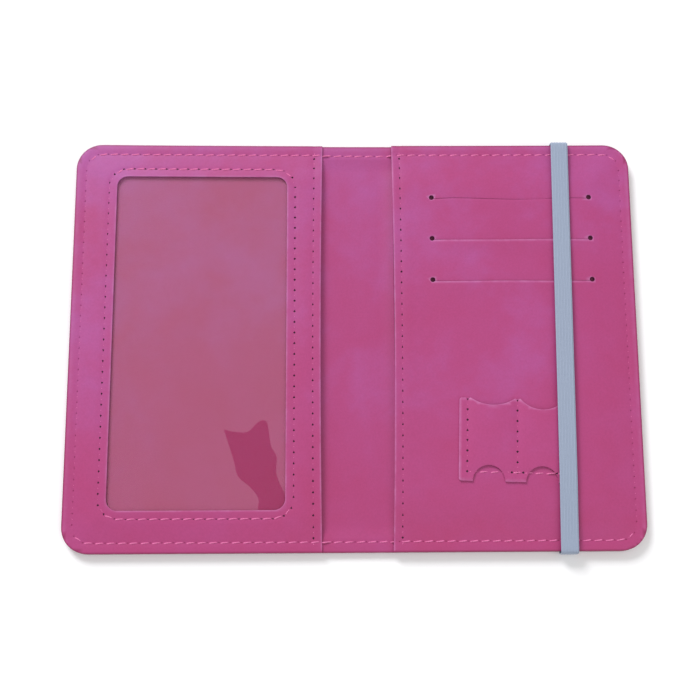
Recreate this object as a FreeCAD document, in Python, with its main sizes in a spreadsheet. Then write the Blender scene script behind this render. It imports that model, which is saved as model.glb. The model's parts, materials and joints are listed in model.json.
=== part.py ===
"""A folding passport holder, lying open with its inside up, as a parametric FreeCAD document.

The holder is a sandwich of flat sheets.  From below: an outer skin, a stiffener board in each cover,
a lining, and a pocket panel that is fixed along three edges and open towards the spine.  The front panel
has a clear window.  The back panel has three card slits and a small patch pocket with two bays, and an
elastic band hugs the back cover.

X runs from the front cover to the back cover, Y runs up the page, Z points out of the inside face.
The origin is at the middle of the underside.  All sizes are in millimetres.
"""

import FreeCAD
import Part
import Sketcher

import math
import os

DIMENSIONS = [
    # alias, value, meaning
    ("OpenWidth", 196, "fore edge to fore edge, lying open"),
    ("HolderHeight", 144, "top edge to bottom edge"),
    ("CornerRadius", 9, "outer corners of both covers"),
    ("SpineWidth", 9.4, "between the two fold lines"),
    ("FoldClearance", 0.15, "from a fold line to the end of each sheet beside it"),
    ("SkinThickness", 0.8, "outer skin"),
    ("BoardThickness", 0.8, "stiffener board"),
    ("BoardToMouth", 1.2, "from a pocket mouth back to the end of the board"),
    ("LiningThickness", 0.6, "lining"),
    ("PassportGap", 0.8, "room for one cover of a passport"),
    ("FilmThickness", 0.2, "clear window film"),
    ("FilmOverlap", 5, "film beyond the edge of the window"),
    ("PanelThickness", 0.7, "pocket panels"),
    ("LinerThickness", 0.1, "cloth liner between the cards and the passport"),
    ("CardGap", 0.8, "room for one card"),
    ("SeamAllowance", 5.5, "width of the glued and sewn border"),
    ("SeamInset", 3.5, "edge of the holder to the border seam"),
    ("FrontMouth", 11.2, "spine centre to the front pocket mouth"),
    ("BackMouth", 13.3, "spine centre to the back pocket mouth"),
    ("MouthSeamInset", 2.8, "pocket mouth to its seam"),
    ("WindowWidth", 60, "window, across"),
    ("WindowHeight", 118, "window, upright"),
    ("WindowFromSpine", 53.4, "spine centre to the window centre"),
    ("WindowRise", 1.2, "holder centre up to the window centre"),
    ("WindowRadius", 3.8, "window corners"),
    ("WindowSeamOffset", 2.8, "window edge out to its seam"),
    ("SlitLength", 55.8, "card slit, between the centres of its end holes"),
    ("SlitWidth", 0.4, "card slit opening"),
    ("SlitHoleDiameter", 1.8, "punched hole at each end of a slit"),
    ("SlitDrop", 0.45, "slit below the centres of its end holes"),
    ("SlitFromSpine", 55.6, "spine centre to the middle of a slit"),
    ("SlitTopRise", 52.3, "holder centre up to the top pair of holes"),
    ("SlitPitch", 15.1, "one slit to the next"),
    ("SlitCount", 3, "card slits"),
    ("TrayFromSpine", 35.8, "spine centre to the near side of the small pocket"),
    ("TrayWidth", 39.6, "small pocket, across"),
    ("TrayFloor", 48.3, "holder centre down to the foot of the small pocket"),
    ("TrayHeight", 28.5, "small pocket, upright"),
    ("TrayThickness", 0.6, "small pocket patch"),
    ("TrayGap", 0.8, "room for one phone card"),
    ("TrayTapeWidth", 2.2, "glued seam strip of the small pocket"),
    ("TraySeamInset", 2.8, "side of the small pocket to its seam"),
    ("TrayBaySpacing", 17, "one upright seam of the small pocket to the next"),
    ("TrayFootSeam", 3.2, "foot of the small pocket up to its seam"),
    ("ArchRadius", 5.5, "thumb arch at the foot of each bay"),
    ("ArchSpacing", 18, "one thumb arch to the next"),
    ("ArchFromSide", 10.2, "side of the small pocket to the first thumb arch"),
    ("ScoopWidth", 15, "scoop in the mouth of each bay"),
    ("FirstScoopDepth", 2.4, "scoop nearer the spine"),
    ("SecondScoopDepth", 3.6, "scoop nearer the fore edge"),
    ("BandFromSpine", 72.8, "spine centre to the middle of the band"),
    ("BandWidth", 6, "elastic band"),
    ("BandThickness", 0.7, "elastic band"),
    ("BandClearance", 0.3, "band to what it passes over or round"),
    ("BandShoulder", 3.8, "small pocket to the bend of the band on each side"),
    ("TailLength", 5, "band end that is sewn into the border"),
    ("StitchPitch", 3.8, "needle hole to needle hole"),
    ("StitchLength", 2.9, "thread that shows between two holes"),
    ("ThreadWidth", 0.45, "sewing thread"),
    ("ThreadRise", 0.15, "thread above the sheet"),
]

doc = FreeCAD.newDocument("PassportHolder")
sheet = doc.addObject("Spreadsheet::Sheet", "Dims")
for row, (alias, value, meaning) in enumerate(DIMENSIONS, start=1):
    sheet.set(f"A{row}", alias)
    sheet.set(f"B{row}", str(value))
    sheet.set(f"C{row}", meaning)
    sheet.setAlias(f"B{row}", alias)
doc.recompute()

# Levels, as expressions on the sheet.  Each one is the height of the underside of a sheet.
HALF_WIDTH = "Dims.OpenWidth / 2"
HALF_HEIGHT = "Dims.HolderHeight / 2"
FOLD_LINE = "Dims.SpineWidth / 2"
BOARD_LEVEL = "Dims.SkinThickness"
SPINE_TOP = f"({BOARD_LEVEL} + Dims.LiningThickness)"
LINING_TOP = f"({BOARD_LEVEL} + Dims.BoardThickness + Dims.LiningThickness)"
FILM_LEVEL = f"({LINING_TOP} + Dims.PassportGap)"
FRONT_PANEL_LEVEL = f"({FILM_LEVEL} + Dims.FilmThickness)"
FRONT_TOP = f"({FRONT_PANEL_LEVEL} + Dims.PanelThickness)"
LINER_LEVEL = f"({LINING_TOP} + Dims.PassportGap)"
LINER_TOP = f"({LINER_LEVEL} + Dims.LinerThickness)"
BACK_PANEL_LEVEL = f"({LINER_TOP} + Dims.CardGap)"
BACK_TOP = f"({BACK_PANEL_LEVEL} + Dims.PanelThickness)"
TRAY_LEVEL = f"({BACK_TOP} + Dims.TrayGap)"
TRAY_TOP = f"({TRAY_LEVEL} + Dims.TrayThickness)"

# Places in the plane of the sheets, as expressions.
WINDOW_LEFT = "(-Dims.WindowFromSpine - Dims.WindowWidth / 2)"
WINDOW_RIGHT = "(-Dims.WindowFromSpine + Dims.WindowWidth / 2)"
WINDOW_BOTTOM = "(Dims.WindowRise - Dims.WindowHeight / 2)"
WINDOW_TOP = "(Dims.WindowRise + Dims.WindowHeight / 2)"
TRAY_RIGHT = "(Dims.TrayFromSpine + Dims.TrayWidth)"
TRAY_MOUTH = "(Dims.TrayHeight - Dims.TrayFloor)"
BAND_LEFT = "(Dims.BandFromSpine - Dims.BandWidth / 2)"
BAND_RIGHT = "(Dims.BandFromSpine + Dims.BandWidth / 2)"
BAND_END = f"({HALF_HEIGHT} + Dims.BandClearance + Dims.BandThickness)"

parts = []


def number(expression):
    """The value of an expression on the sheet."""
    return float(sheet.evalExpression(expression))


def keep(item, label):
    """Names a finished sub-part and puts it on the list to be written."""
    item.Label = label
    parts.append(item)
    return item


def new_body(label):
    body = doc.addObject("PartDesign::Body", label)
    return keep(body, label)


def new_sketch(body, level, role="XY_Plane"):
    """An empty sketch on one of the body's own planes, moved along the plane's normal to the level."""
    sketch = body.newObject("Sketcher::SketchObject", "Outline")
    support = next(f for f in body.Origin.OriginFeatures if f.Role == role)
    sketch.AttachmentSupport = [(support, "")]
    sketch.MapMode = "FlatFace"
    sketch.setExpression("AttachmentOffset.Base.z", level)
    return sketch


def bind(sketch, constraint, expression):
    index = sketch.addConstraint(constraint)
    sketch.setExpression(f"Constraints[{index}]", expression)


def bind_point(sketch, geometry, point, x, y):
    """Ties a point of the sketch to a place given by two expressions."""
    bind(sketch, Sketcher.Constraint("DistanceX", -1, 1, geometry, point, number(x)), x)
    bind(sketch, Sketcher.Constraint("DistanceY", -1, 1, geometry, point, number(y)), y)


def add_polygon(sketch, corners):
    """Draws a closed outline with straight sides through corners, each a pair of expressions."""
    points = [FreeCAD.Vector(number(x), number(y), 0) for x, y in corners]
    first = sketch.GeometryCount
    for start, end in zip(points, points[1:] + points[:1]):
        sketch.addGeometry(Part.LineSegment(start, end), False)
    for i, (x, y) in enumerate(corners):
        before = first + (i - 1) % len(corners)
        sketch.addConstraint(Sketcher.Constraint("Coincident", before, 2, first + i, 1))
        bind_point(sketch, first + i, 1, x, y)


def add_rectangle(sketch, left, right, bottom, top):
    add_polygon(sketch, [(left, bottom), (right, bottom), (right, top), (left, top)])


def add_circle(sketch, x, y, radius):
    centre = FreeCAD.Vector(number(x), number(y), 0)
    index = sketch.addGeometry(Part.Circle(centre, FreeCAD.Vector(0, 0, 1), number(radius)), False)
    bind_point(sketch, index, 3, x, y)
    bind(sketch, Sketcher.Constraint("Radius", index, number(radius)), radius)


def pad(body, sketch, thickness):
    feature = body.newObject("PartDesign::Pad", "Sheet")
    feature.Profile = sketch
    feature.setExpression("Length", thickness)
    doc.recompute()
    return feature


def pocket(body, sketch, depth=None):
    """Cuts upwards from the sketch: to a depth, or right through if there is none."""
    before = body.Shape.Volume
    feature = body.newObject("PartDesign::Pocket", "Cut")
    feature.Profile = sketch
    feature.Reversed = True
    if depth is None:
        feature.Type = "ThroughAll"
    else:
        feature.setExpression("Length", depth)
    doc.recompute()
    if not body.Shape.Volume < before:
        raise RuntimeError(f"{body.Label}: a pocket cut nothing")
    return feature


def round_upright_edges(body, feature, radius, wanted):
    """Fillets the upright edges of a feature whose x and y pass the test wanted."""
    names = []
    for place, edge in enumerate(feature.Shape.Edges, start=1):
        low, high = edge.Vertexes[0].Point, edge.Vertexes[-1].Point
        upright = math.hypot(low.x - high.x, low.y - high.y) < 1e-6
        if upright and wanted(low.x, low.y):
            names.append(f"Edge{place}")
    fillet = body.newObject("PartDesign::Fillet", "Corners")
    fillet.Base = (feature, names)
    fillet.setExpression("Radius", radius)
    doc.recompute()
    return fillet


def box(label, left, right, bottom, top, level, thickness):
    """A plain rectangular sheet."""
    block = doc.addObject("Part::Box", label)
    block.setExpression("Length", f"{right} - {left}")
    block.setExpression("Width", f"{top} - {bottom}")
    block.setExpression("Height", thickness)
    block.setExpression("Placement.Base.x", left)
    block.setExpression("Placement.Base.y", bottom)
    block.setExpression("Placement.Base.z", level)
    return keep(block, label)


def cover_sheet(label, side, inner, level, thickness):
    """A full-height sheet from inner, a distance from the spine centre, out to the fore edge.

    side is -1 for the front cover and 1 for the back cover.  The two fore-edge corners are rounded.
    """
    body = new_body(label)
    near, far = f"{side} * {inner}", f"{side} * {HALF_WIDTH}"
    left, right = (far, near) if side < 0 else (near, far)
    sketch = new_sketch(body, level)
    add_rectangle(sketch, left, right, f"-{HALF_HEIGHT}", HALF_HEIGHT)
    plate = pad(body, sketch, thickness)
    fore_edge = side * number(HALF_WIDTH)
    round_upright_edges(body, plate, "Dims.CornerRadius", lambda x, y: abs(x - fore_edge) < 1e-6)
    return body


def cut_rectangle(body, left, right, bottom, top, level, depth=None):
    sketch = new_sketch(body, level)
    add_rectangle(sketch, left, right, bottom, top)
    return pocket(body, sketch, depth)


def outer_skins():
    """The skin is one sheet on the real holder.  Here it is cut at the two fold lines."""
    fold_end = f"({FOLD_LINE} + Dims.FoldClearance)"
    cover_sheet("front_outer_skin", -1, fold_end, "0", "Dims.SkinThickness")
    cover_sheet("back_outer_skin", 1, fold_end, "0", "Dims.SkinThickness")
    half = f"({FOLD_LINE} - Dims.FoldClearance)"
    box("spine_outer_skin", f"-{half}", half, f"-{HALF_HEIGHT}", HALF_HEIGHT, "0", "Dims.SkinThickness")
    box("spine_lining", f"-{half}", half, f"-{HALF_HEIGHT}", HALF_HEIGHT, BOARD_LEVEL,
        "Dims.LiningThickness")


def board(side, mouth, label):
    """A stiffener board with its four corners rounded, and the rectangle that it fills."""
    inner = f"({mouth} + Dims.BoardToMouth)"
    outer = f"({HALF_WIDTH} - Dims.SeamAllowance)"
    near, far = f"{side} * {inner}", f"{side} * {outer}"
    left, right = (far, near) if side < 0 else (near, far)
    reach = f"({HALF_HEIGHT} - Dims.SeamAllowance)"
    body = new_body(label)
    sketch = new_sketch(body, BOARD_LEVEL)
    add_rectangle(sketch, left, right, f"-{reach}", reach)
    plate = pad(body, sketch, "Dims.BoardThickness")
    round_upright_edges(body, plate, "Dims.CornerRadius - Dims.SeamAllowance", lambda x, y: True)
    return left, right, f"-{reach}", reach


def lining(side, mouth, label, board_place):
    """The lining lies low beside the spine, steps up over the board, and closes round it."""
    fold_end = f"({FOLD_LINE} + Dims.FoldClearance)"
    body = cover_sheet(label, side, fold_end, BOARD_LEVEL, "Dims.BoardThickness + Dims.LiningThickness")
    near, step = f"{side} * {fold_end}", f"{side} * ({mouth} + Dims.BoardToMouth / 2)"
    left, right = (step, near) if side < 0 else (near, step)
    cut_rectangle(body, left, right, f"-{HALF_HEIGHT}", HALF_HEIGHT, SPINE_TOP)
    cut_rectangle(body, *board_place, BOARD_LEVEL, "Dims.BoardThickness")
    return body


def cut_tail_notches(body):
    """Room in the border of the back lining for the two sewn-in ends of the band."""
    left, right = f"({BAND_LEFT} - Dims.BandClearance)", f"({BAND_RIGHT} + Dims.BandClearance)"
    inner = f"({HALF_HEIGHT} - Dims.TailLength)"
    depth = "Dims.BandThickness + Dims.BandClearance / 3"
    cut_rectangle(body, left, right, inner, HALF_HEIGHT, BOARD_LEVEL, depth)
    cut_rectangle(body, left, right, f"-{HALF_HEIGHT}", f"-{inner}", BOARD_LEVEL, depth)


def seam_tape(side, mouth, label, level, thickness):
    """The glued border between two sheets: a strip along the top, the fore edge and the bottom."""
    inner = f"({mouth} + Dims.BoardToMouth / 2)"
    body = cover_sheet(label, side, inner, level, thickness)
    near, far = f"{side} * {inner}", f"{side} * ({HALF_WIDTH} - Dims.SeamAllowance)"
    left, right = (far, near) if side < 0 else (near, far)
    reach = f"({HALF_HEIGHT} - Dims.SeamAllowance)"
    cut_rectangle(body, left, right, f"-{reach}", reach, level)
    return body


def front_pocket_panel():
    body = cover_sheet("front_pocket_panel", -1, "Dims.FrontMouth", FRONT_PANEL_LEVEL,
                       "Dims.PanelThickness")
    cut = cut_rectangle(body, WINDOW_LEFT, WINDOW_RIGHT, WINDOW_BOTTOM, WINDOW_TOP, FRONT_PANEL_LEVEL)
    half_width, half_height = number("Dims.WindowWidth / 2"), number("Dims.WindowHeight / 2")
    middle_x, middle_y = number("-Dims.WindowFromSpine"), number("Dims.WindowRise")

    def at_window_corner(x, y):
        return (abs(abs(x - middle_x) - half_width) < 1e-6
                and abs(abs(y - middle_y) - half_height) < 1e-6)

    round_upright_edges(body, cut, "Dims.WindowRadius", at_window_corner)


def window_film():
    margin = "Dims.FilmOverlap"
    box("window_film", f"({WINDOW_LEFT} - {margin})", f"({WINDOW_RIGHT} + {margin})",
        f"({WINDOW_BOTTOM} - {margin})", f"({WINDOW_TOP} + {margin})", FILM_LEVEL, "Dims.FilmThickness")


def back_pocket_panel():
    """The card panel: three slits, each between two punched holes."""
    body = cover_sheet("back_pocket_panel", 1, "Dims.BackMouth", BACK_PANEL_LEVEL, "Dims.PanelThickness")
    left = "(Dims.SlitFromSpine - Dims.SlitLength / 2)"
    right = "(Dims.SlitFromSpine + Dims.SlitLength / 2)"
    middle = "(Dims.SlitTopRise - Dims.SlitDrop)"
    slit = cut_rectangle(body, left, right, f"({middle} - Dims.SlitWidth / 2)",
                         f"({middle} + Dims.SlitWidth / 2)", BACK_PANEL_LEVEL)
    sketch = new_sketch(body, BACK_PANEL_LEVEL)
    for x in (left, right):
        add_circle(sketch, x, "Dims.SlitTopRise", "Dims.SlitHoleDiameter / 2")
    holes = pocket(body, sketch)
    rows = body.newObject("PartDesign::LinearPattern", "Rows")
    rows.Originals = [slit, holes]
    rows.Direction = (sketch, ["V_Axis"])
    rows.Reversed = True
    rows.setExpression("Length", "Dims.SlitPitch * (Dims.SlitCount - 1)")
    rows.setExpression("Occurrences", "Dims.SlitCount")
    body.Tip = rows
    doc.recompute()


def tray_bay_middle(bay):
    return f"(Dims.TrayFromSpine + Dims.TraySeamInset + Dims.TrayBaySpacing * {bay + 0.5})"


def tray_arch_middle(bay):
    return f"(Dims.TrayFromSpine + Dims.ArchFromSide + Dims.ArchSpacing * {bay})"


def small_pocket():
    """The patch with two bays for phone cards: scooped mouths at the top, thumb arches at the foot."""
    body = new_body("small_pocket_patch")
    sketch = new_sketch(body, TRAY_LEVEL)
    add_rectangle(sketch, "Dims.TrayFromSpine", TRAY_RIGHT, "-Dims.TrayFloor", TRAY_MOUTH)
    pad(body, sketch, "Dims.TrayThickness")
    arches = new_sketch(body, TRAY_LEVEL)
    for bay in range(2):
        add_circle(arches, tray_arch_middle(bay), "-Dims.TrayFloor", "Dims.ArchRadius")
    pocket(body, arches)
    for bay, depth in enumerate(("Dims.FirstScoopDepth", "Dims.SecondScoopDepth")):
        radius = f"(((Dims.ScoopWidth / 2) ^ 2 + {depth} ^ 2) / (2 * {depth}))"
        scoop = new_sketch(body, TRAY_LEVEL)
        add_circle(scoop, tray_bay_middle(bay), f"({TRAY_MOUTH} + {radius} - {depth})", radius)
        pocket(body, scoop)


def small_pocket_tape():
    """Three upright glue strips under the patch, as one node of three separate solids."""
    strips = []
    for i in range(3):
        centre = number(f"Dims.TrayFromSpine + Dims.TraySeamInset + Dims.TrayBaySpacing * {i}")
        width, height = number("Dims.TrayTapeWidth"), number("Dims.TrayHeight - Dims.FirstScoopDepth")
        corner = FreeCAD.Vector(centre - width / 2, -number("Dims.TrayFloor"), number(BACK_TOP))
        strips.append(Part.makeBox(width, height, number("Dims.TrayGap"), corner))
    tape = doc.addObject("Part::Feature", "small_pocket_tape")
    tape.Shape = Part.makeCompound(strips)
    keep(tape, "small_pocket_tape")


def elastic_band():
    """The run of the band over the inside: flat at both ends, and lifted where it passes over the patch."""
    body = new_body("elastic_band")
    sketch = new_sketch(body, BAND_LEFT, "YZ_Plane")
    low = f"({BACK_TOP} + Dims.BandClearance)"
    high = f"({TRAY_TOP} + Dims.ThreadRise + Dims.BandClearance)"
    upper_bend = f"({TRAY_MOUTH} + Dims.BandShoulder)"
    lower_bend = "(-Dims.TrayFloor - Dims.BandShoulder)"
    path = [(BAND_END, low), (upper_bend, high), (lower_bend, high), (f"-{BAND_END}", low)]
    top = [(y, f"({z} + Dims.BandThickness)") for y, z in reversed(path)]
    add_polygon(sketch, path + top)
    pad(body, sketch, "Dims.BandWidth")


def band_ends():
    """At each edge a leg goes down round the border, and a tail is sewn in between skin and lining."""
    leg_level = f"({BOARD_LEVEL} + Dims.BandThickness)"
    leg_height = f"{BACK_TOP} + Dims.BandClearance - {leg_level}"
    outer, inner = BAND_END, f"({HALF_HEIGHT} + Dims.BandClearance)"
    root = f"({HALF_HEIGHT} - Dims.TailLength)"
    box("elastic_leg_top", BAND_LEFT, BAND_RIGHT, inner, outer, leg_level, leg_height)
    box("elastic_leg_bottom", BAND_LEFT, BAND_RIGHT, f"-{outer}", f"-{inner}", leg_level, leg_height)
    box("elastic_tail_top", BAND_LEFT, BAND_RIGHT, root, outer, BOARD_LEVEL, "Dims.BandThickness")
    box("elastic_tail_bottom", BAND_LEFT, BAND_RIGHT, f"-{outer}", f"-{root}", BOARD_LEVEL,
        "Dims.BandThickness")


def stitch(start, end, level):
    """One visible stitch between two needle holes: a short bar with sloping ends, flat underneath."""
    half, rise = number("Dims.StitchLength") / 2, number("Dims.ThreadRise")
    width = number("Dims.ThreadWidth")
    outline = [(-half, 0), (half, 0), (half - rise, rise), (rise - half, rise)]
    corners = [FreeCAD.Vector(x, -width / 2, z) for x, z in outline]
    bar = Part.Face(Part.makePolygon(corners + corners[:1])).extrude(FreeCAD.Vector(0, width, 0))
    heading = math.degrees(math.atan2(end.y - start.y, end.x - start.x))
    bar.rotate(FreeCAD.Vector(0, 0, 0), FreeCAD.Vector(0, 0, 1), heading)
    middle = (start + end) / 2
    bar.translate(FreeCAD.Vector(middle.x, middle.y, level))
    return bar


def stitches_along(path, level):
    """Stitches of even length from end to end of a wire."""
    count = max(1, round(path.Length / number("Dims.StitchPitch")))
    holes = path.discretize(Number=count + 1)
    return [stitch(start, end, level) for start, end in zip(holes, holes[1:])]


def line(x_start, y_start, x_end, y_end):
    return Part.LineSegment(FreeCAD.Vector(x_start, y_start, 0), FreeCAD.Vector(x_end, y_end, 0)).toShape()


def corner(x, y, radius, start):
    """A quarter circle about x, y, anticlockwise from the start angle in degrees."""
    angles = [math.radians(start + turn) for turn in (0, 45, 90)]
    points = [FreeCAD.Vector(x + radius * math.cos(a), y + radius * math.sin(a), 0) for a in angles]
    return Part.Arc(*points).toShape()


def border_path(side, mouth):
    """The border seam of one cover: along the top, round the fore edge, and back along the bottom."""
    inset, radius = number("Dims.SeamInset"), number("Dims.CornerRadius") - number("Dims.SeamInset")
    x, y = number(HALF_WIDTH) - inset, number(HALF_HEIGHT) - inset
    edges = [
        line(mouth, y, x - radius, y),
        corner(x - radius, y - radius, radius, 0),
        line(x, y - radius, x, radius - y),
        corner(x - radius, radius - y, radius, 270),
        line(x - radius, -y, mouth, -y),
    ]
    wire = Part.Wire(edges)
    if side > 0:
        return wire
    wire.rotate(FreeCAD.Vector(0, 0, 0), FreeCAD.Vector(0, 0, 1), 180)
    return wire


def window_path():
    grow = number("Dims.WindowSeamOffset")
    radius = number("Dims.WindowRadius") + grow
    left, right = number(WINDOW_LEFT) - grow, number(WINDOW_RIGHT) + grow
    bottom, top = number(WINDOW_BOTTOM) - grow, number(WINDOW_TOP) + grow
    return Part.Wire([
        line(left + radius, bottom, right - radius, bottom),
        corner(right - radius, bottom + radius, radius, 270),
        line(right, bottom + radius, right, top - radius),
        corner(right - radius, top - radius, radius, 0),
        line(right - radius, top, left + radius, top),
        corner(left + radius, top - radius, radius, 90),
        line(left, top - radius, left, bottom + radius),
        corner(left + radius, bottom + radius, radius, 180),
    ])


def seam(label, bars):
    thread = doc.addObject("Part::Feature", label)
    thread.Shape = Part.makeCompound(bars)
    keep(thread, label)


def rows_beside_spine(x_start, x_end):
    """The border seam where it crosses the low lining beside and on the spine, top and bottom."""
    bars = []
    for side in (-1, 1):
        y = side * number(f"{HALF_HEIGHT} - Dims.SeamInset")
        bars += stitches_along(Part.Wire([line(x_start, y, x_end, y)]), number(SPINE_TOP))
    return bars


def seams():
    front_mouth, back_mouth = number("Dims.FrontMouth"), number("Dims.BackMouth")
    front_top, back_top = number(FRONT_TOP), number(BACK_TOP)
    fold_end = number(f"{FOLD_LINE} + Dims.FoldClearance")
    reach = number(HALF_HEIGHT) - number("Dims.SeamInset")
    hem = number("Dims.MouthSeamInset")
    seam("front_border_seam", stitches_along(border_path(-1, front_mouth), front_top)
         + rows_beside_spine(-front_mouth, -fold_end))
    seam("back_border_seam", stitches_along(border_path(1, back_mouth), back_top)
         + rows_beside_spine(fold_end, back_mouth))
    half_spine = number(f"{FOLD_LINE} - Dims.FoldClearance")
    seam("spine_seam", rows_beside_spine(-half_spine, half_spine))
    seam("window_seam", stitches_along(window_path(), front_top))
    clear = reach - number("Dims.ThreadWidth")
    for label, x, level in (("front_mouth_seam", -front_mouth - hem, front_top),
                            ("back_mouth_seam", back_mouth + hem, back_top)):
        seam(label, stitches_along(Part.Wire([line(x, clear, x, -clear)]), level))
    seam("small_pocket_seam", small_pocket_stitches())


def small_pocket_stitches():
    """Three upright rows on the patch, and a row along its foot that drops to the panel in the arches."""
    on_patch, on_panel = number(TRAY_TOP), number(BACK_TOP)
    clear = number("Dims.ThreadWidth")
    foot, mouth = number("Dims.TrayFootSeam - Dims.TrayFloor"), number(TRAY_MOUTH) - clear
    columns = [number(f"Dims.TrayFromSpine + Dims.TraySeamInset + Dims.TrayBaySpacing * {i}")
               for i in range(3)]
    bars = []
    for x in columns:
        bars += stitches_along(Part.Wire([line(x, mouth, x, foot + clear)]), on_patch)
    half_arch = math.sqrt(number("Dims.ArchRadius") ** 2 - number("Dims.TrayFootSeam") ** 2)
    arches = [number(tray_arch_middle(bay)) for bay in range(2)]
    foot_row = Part.Wire([line(columns[0] + clear, foot, columns[-1] - clear, foot)])
    for bar in stitches_along(foot_row, 0):
        in_arch = any(abs(bar.BoundBox.Center.x - x) < half_arch for x in arches)
        bar.translate(FreeCAD.Vector(0, 0, on_panel if in_arch else on_patch))
        bars.append(bar)
    return bars


outer_skins()
front_board = board(-1, "Dims.FrontMouth", "front_board")
back_board = board(1, "Dims.BackMouth", "back_board")
lining(-1, "Dims.FrontMouth", "front_lining", front_board)
cut_tail_notches(lining(1, "Dims.BackMouth", "back_lining", back_board))
seam_tape(-1, "Dims.FrontMouth", "front_seam_tape", LINING_TOP, "Dims.PassportGap + Dims.FilmThickness")
seam_tape(1, "Dims.BackMouth", "passport_seam_tape", LINING_TOP, "Dims.PassportGap")
cover_sheet("card_liner", 1, "(Dims.BackMouth + Dims.BoardToMouth / 2)", LINER_LEVEL,
            "Dims.LinerThickness")
seam_tape(1, "Dims.BackMouth", "card_seam_tape", LINER_TOP, "Dims.CardGap")
front_pocket_panel()
window_film()
back_pocket_panel()
small_pocket()
small_pocket_tape()
elastic_band()
band_ends()
seams()
doc.recompute()

failed = [item.Label for item in doc.Objects if "Invalid" in item.State or "Error" in item.State]
failed += [item.Label for item in parts if item.Shape.isNull() or not item.Shape.isValid()]
if failed:
    raise RuntimeError(f"these did not build: {failed}")

os.makedirs("parts", exist_ok=True)
for item in parts:
    item.Shape.exportStep(os.path.join("parts", f"{item.Label}.step"))
print(f"{len(parts)} sub-parts written")
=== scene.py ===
"""A folding passport holder in soft coated leather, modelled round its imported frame.

Each sheet starts as a flat plate.  It is scored into a net, cut out, given its thickness, pierced along its
seams and then laid at its own height, which falls towards the sewn border.  Threads, the clear window film,
the small pocket and the elastic band follow the same heights.
"""

import json
import math

import bmesh
import bpy
from bpy.props import FloatProperty, FloatVectorProperty, PointerProperty
from mathutils import Matrix, Vector, kdtree, noise


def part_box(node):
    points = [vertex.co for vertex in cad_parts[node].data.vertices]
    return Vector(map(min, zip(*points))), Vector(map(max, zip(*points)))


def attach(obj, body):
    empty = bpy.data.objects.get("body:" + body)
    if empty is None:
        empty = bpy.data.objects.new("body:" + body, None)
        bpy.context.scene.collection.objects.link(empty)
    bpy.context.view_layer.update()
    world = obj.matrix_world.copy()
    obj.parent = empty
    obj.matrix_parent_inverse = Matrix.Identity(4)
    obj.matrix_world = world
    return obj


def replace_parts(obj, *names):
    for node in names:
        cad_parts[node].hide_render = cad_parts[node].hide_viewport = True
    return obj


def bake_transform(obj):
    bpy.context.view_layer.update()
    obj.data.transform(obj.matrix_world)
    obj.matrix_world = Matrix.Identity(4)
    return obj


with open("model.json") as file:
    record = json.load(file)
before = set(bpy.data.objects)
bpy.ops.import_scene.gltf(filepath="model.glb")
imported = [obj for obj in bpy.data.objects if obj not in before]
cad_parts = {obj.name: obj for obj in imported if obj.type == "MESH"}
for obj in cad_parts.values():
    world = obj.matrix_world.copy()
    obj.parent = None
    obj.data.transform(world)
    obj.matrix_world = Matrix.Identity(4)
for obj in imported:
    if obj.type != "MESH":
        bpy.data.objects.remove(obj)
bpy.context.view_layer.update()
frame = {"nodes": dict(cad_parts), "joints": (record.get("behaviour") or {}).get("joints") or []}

bl_info = {
    "name": "Passport Holder",
    "version": (1, 0, 0),
    "blender": (4, 5, 0),
    "location": "3D View > Sidebar > Holder",
    "description": "Builds a folding passport holder in coated leather, piece by piece",
    "category": "Object",
}

MM = 0.001

# Places, levels and folds of the frame, in metres.
HALF_WIDTH, HALF_HEIGHT, SKIN_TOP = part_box("back_outer_skin")[1]
BOARD_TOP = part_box("back_board")[1].z
FRONT_BOARD_END = -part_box("front_board")[1].x
BACK_BOARD_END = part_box("back_board")[0].x
BOARD_MARGIN = HALF_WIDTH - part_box("back_board")[1].x
SPINE_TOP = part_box("spine_lining")[1].z
LINING_THICKNESS = SPINE_TOP - SKIN_TOP
FRONT_PANEL_LOW, FRONT_PANEL_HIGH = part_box("front_pocket_panel")
PANEL_THICKNESS = FRONT_PANEL_HIGH.z - FRONT_PANEL_LOW.z
FRONT_MOUTH = FRONT_PANEL_HIGH.x
BACK_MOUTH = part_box("back_pocket_panel")[0].x
FILM_LOW, FILM_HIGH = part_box("window_film")
PATCH_LOW, PATCH_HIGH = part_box("small_pocket_patch")
BAND_LOW, BAND_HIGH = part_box("elastic_band")
TAIL_LOW, TAIL_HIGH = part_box("elastic_tail_top")
JOINTS = {joint["name"]: Vector(joint["pos_m"]) for joint in frame["joints"] if "pos_m" in joint}

# What differs between the two sides of the spine: -1 is the front cover and 1 the back cover.
HALVES = {-1: "front", 1: "back"}
COVERS = {-1: "front_cover", 1: "back_cover"}
BOARD_ENDS = {-1: FRONT_BOARD_END, 1: BACK_BOARD_END}
MOUTHS = {-1: FRONT_MOUTH, 1: BACK_MOUTH}
FOLDS = {-1: JOINTS["cover_fold"], 1: JOINTS["spine_fold"]}

# Sizes of the visual model alone: the band, the covers' net, the needle holes, and the punching tools.
BAND_THICKNESS = 0.6 * MM
COARSE_NET = 3.8 * MM
SHALLOW_HOLE = 0.3 * MM
DEEP_HOLE = 0.35 * MM
CUTTER_DEPTH = 6 * MM


def colour(name, description, red, green, blue):
    """A colour setting, given as the 0 to 255 values of a colour chart."""
    values = []
    for channel in (red, green, blue):
        share = channel / 255
        values.append(share / 12.92 if share <= 0.04045 else ((share + 0.055) / 1.055) ** 2.4)
    return FloatVectorProperty(name=name, description=description, subtype="COLOR", size=3, min=0, max=1,
                               default=values)


def size(name, description, millimetres):
    return FloatProperty(name=name, description=description, unit="LENGTH", precision=5,
                         default=millimetres * MM)


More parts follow.
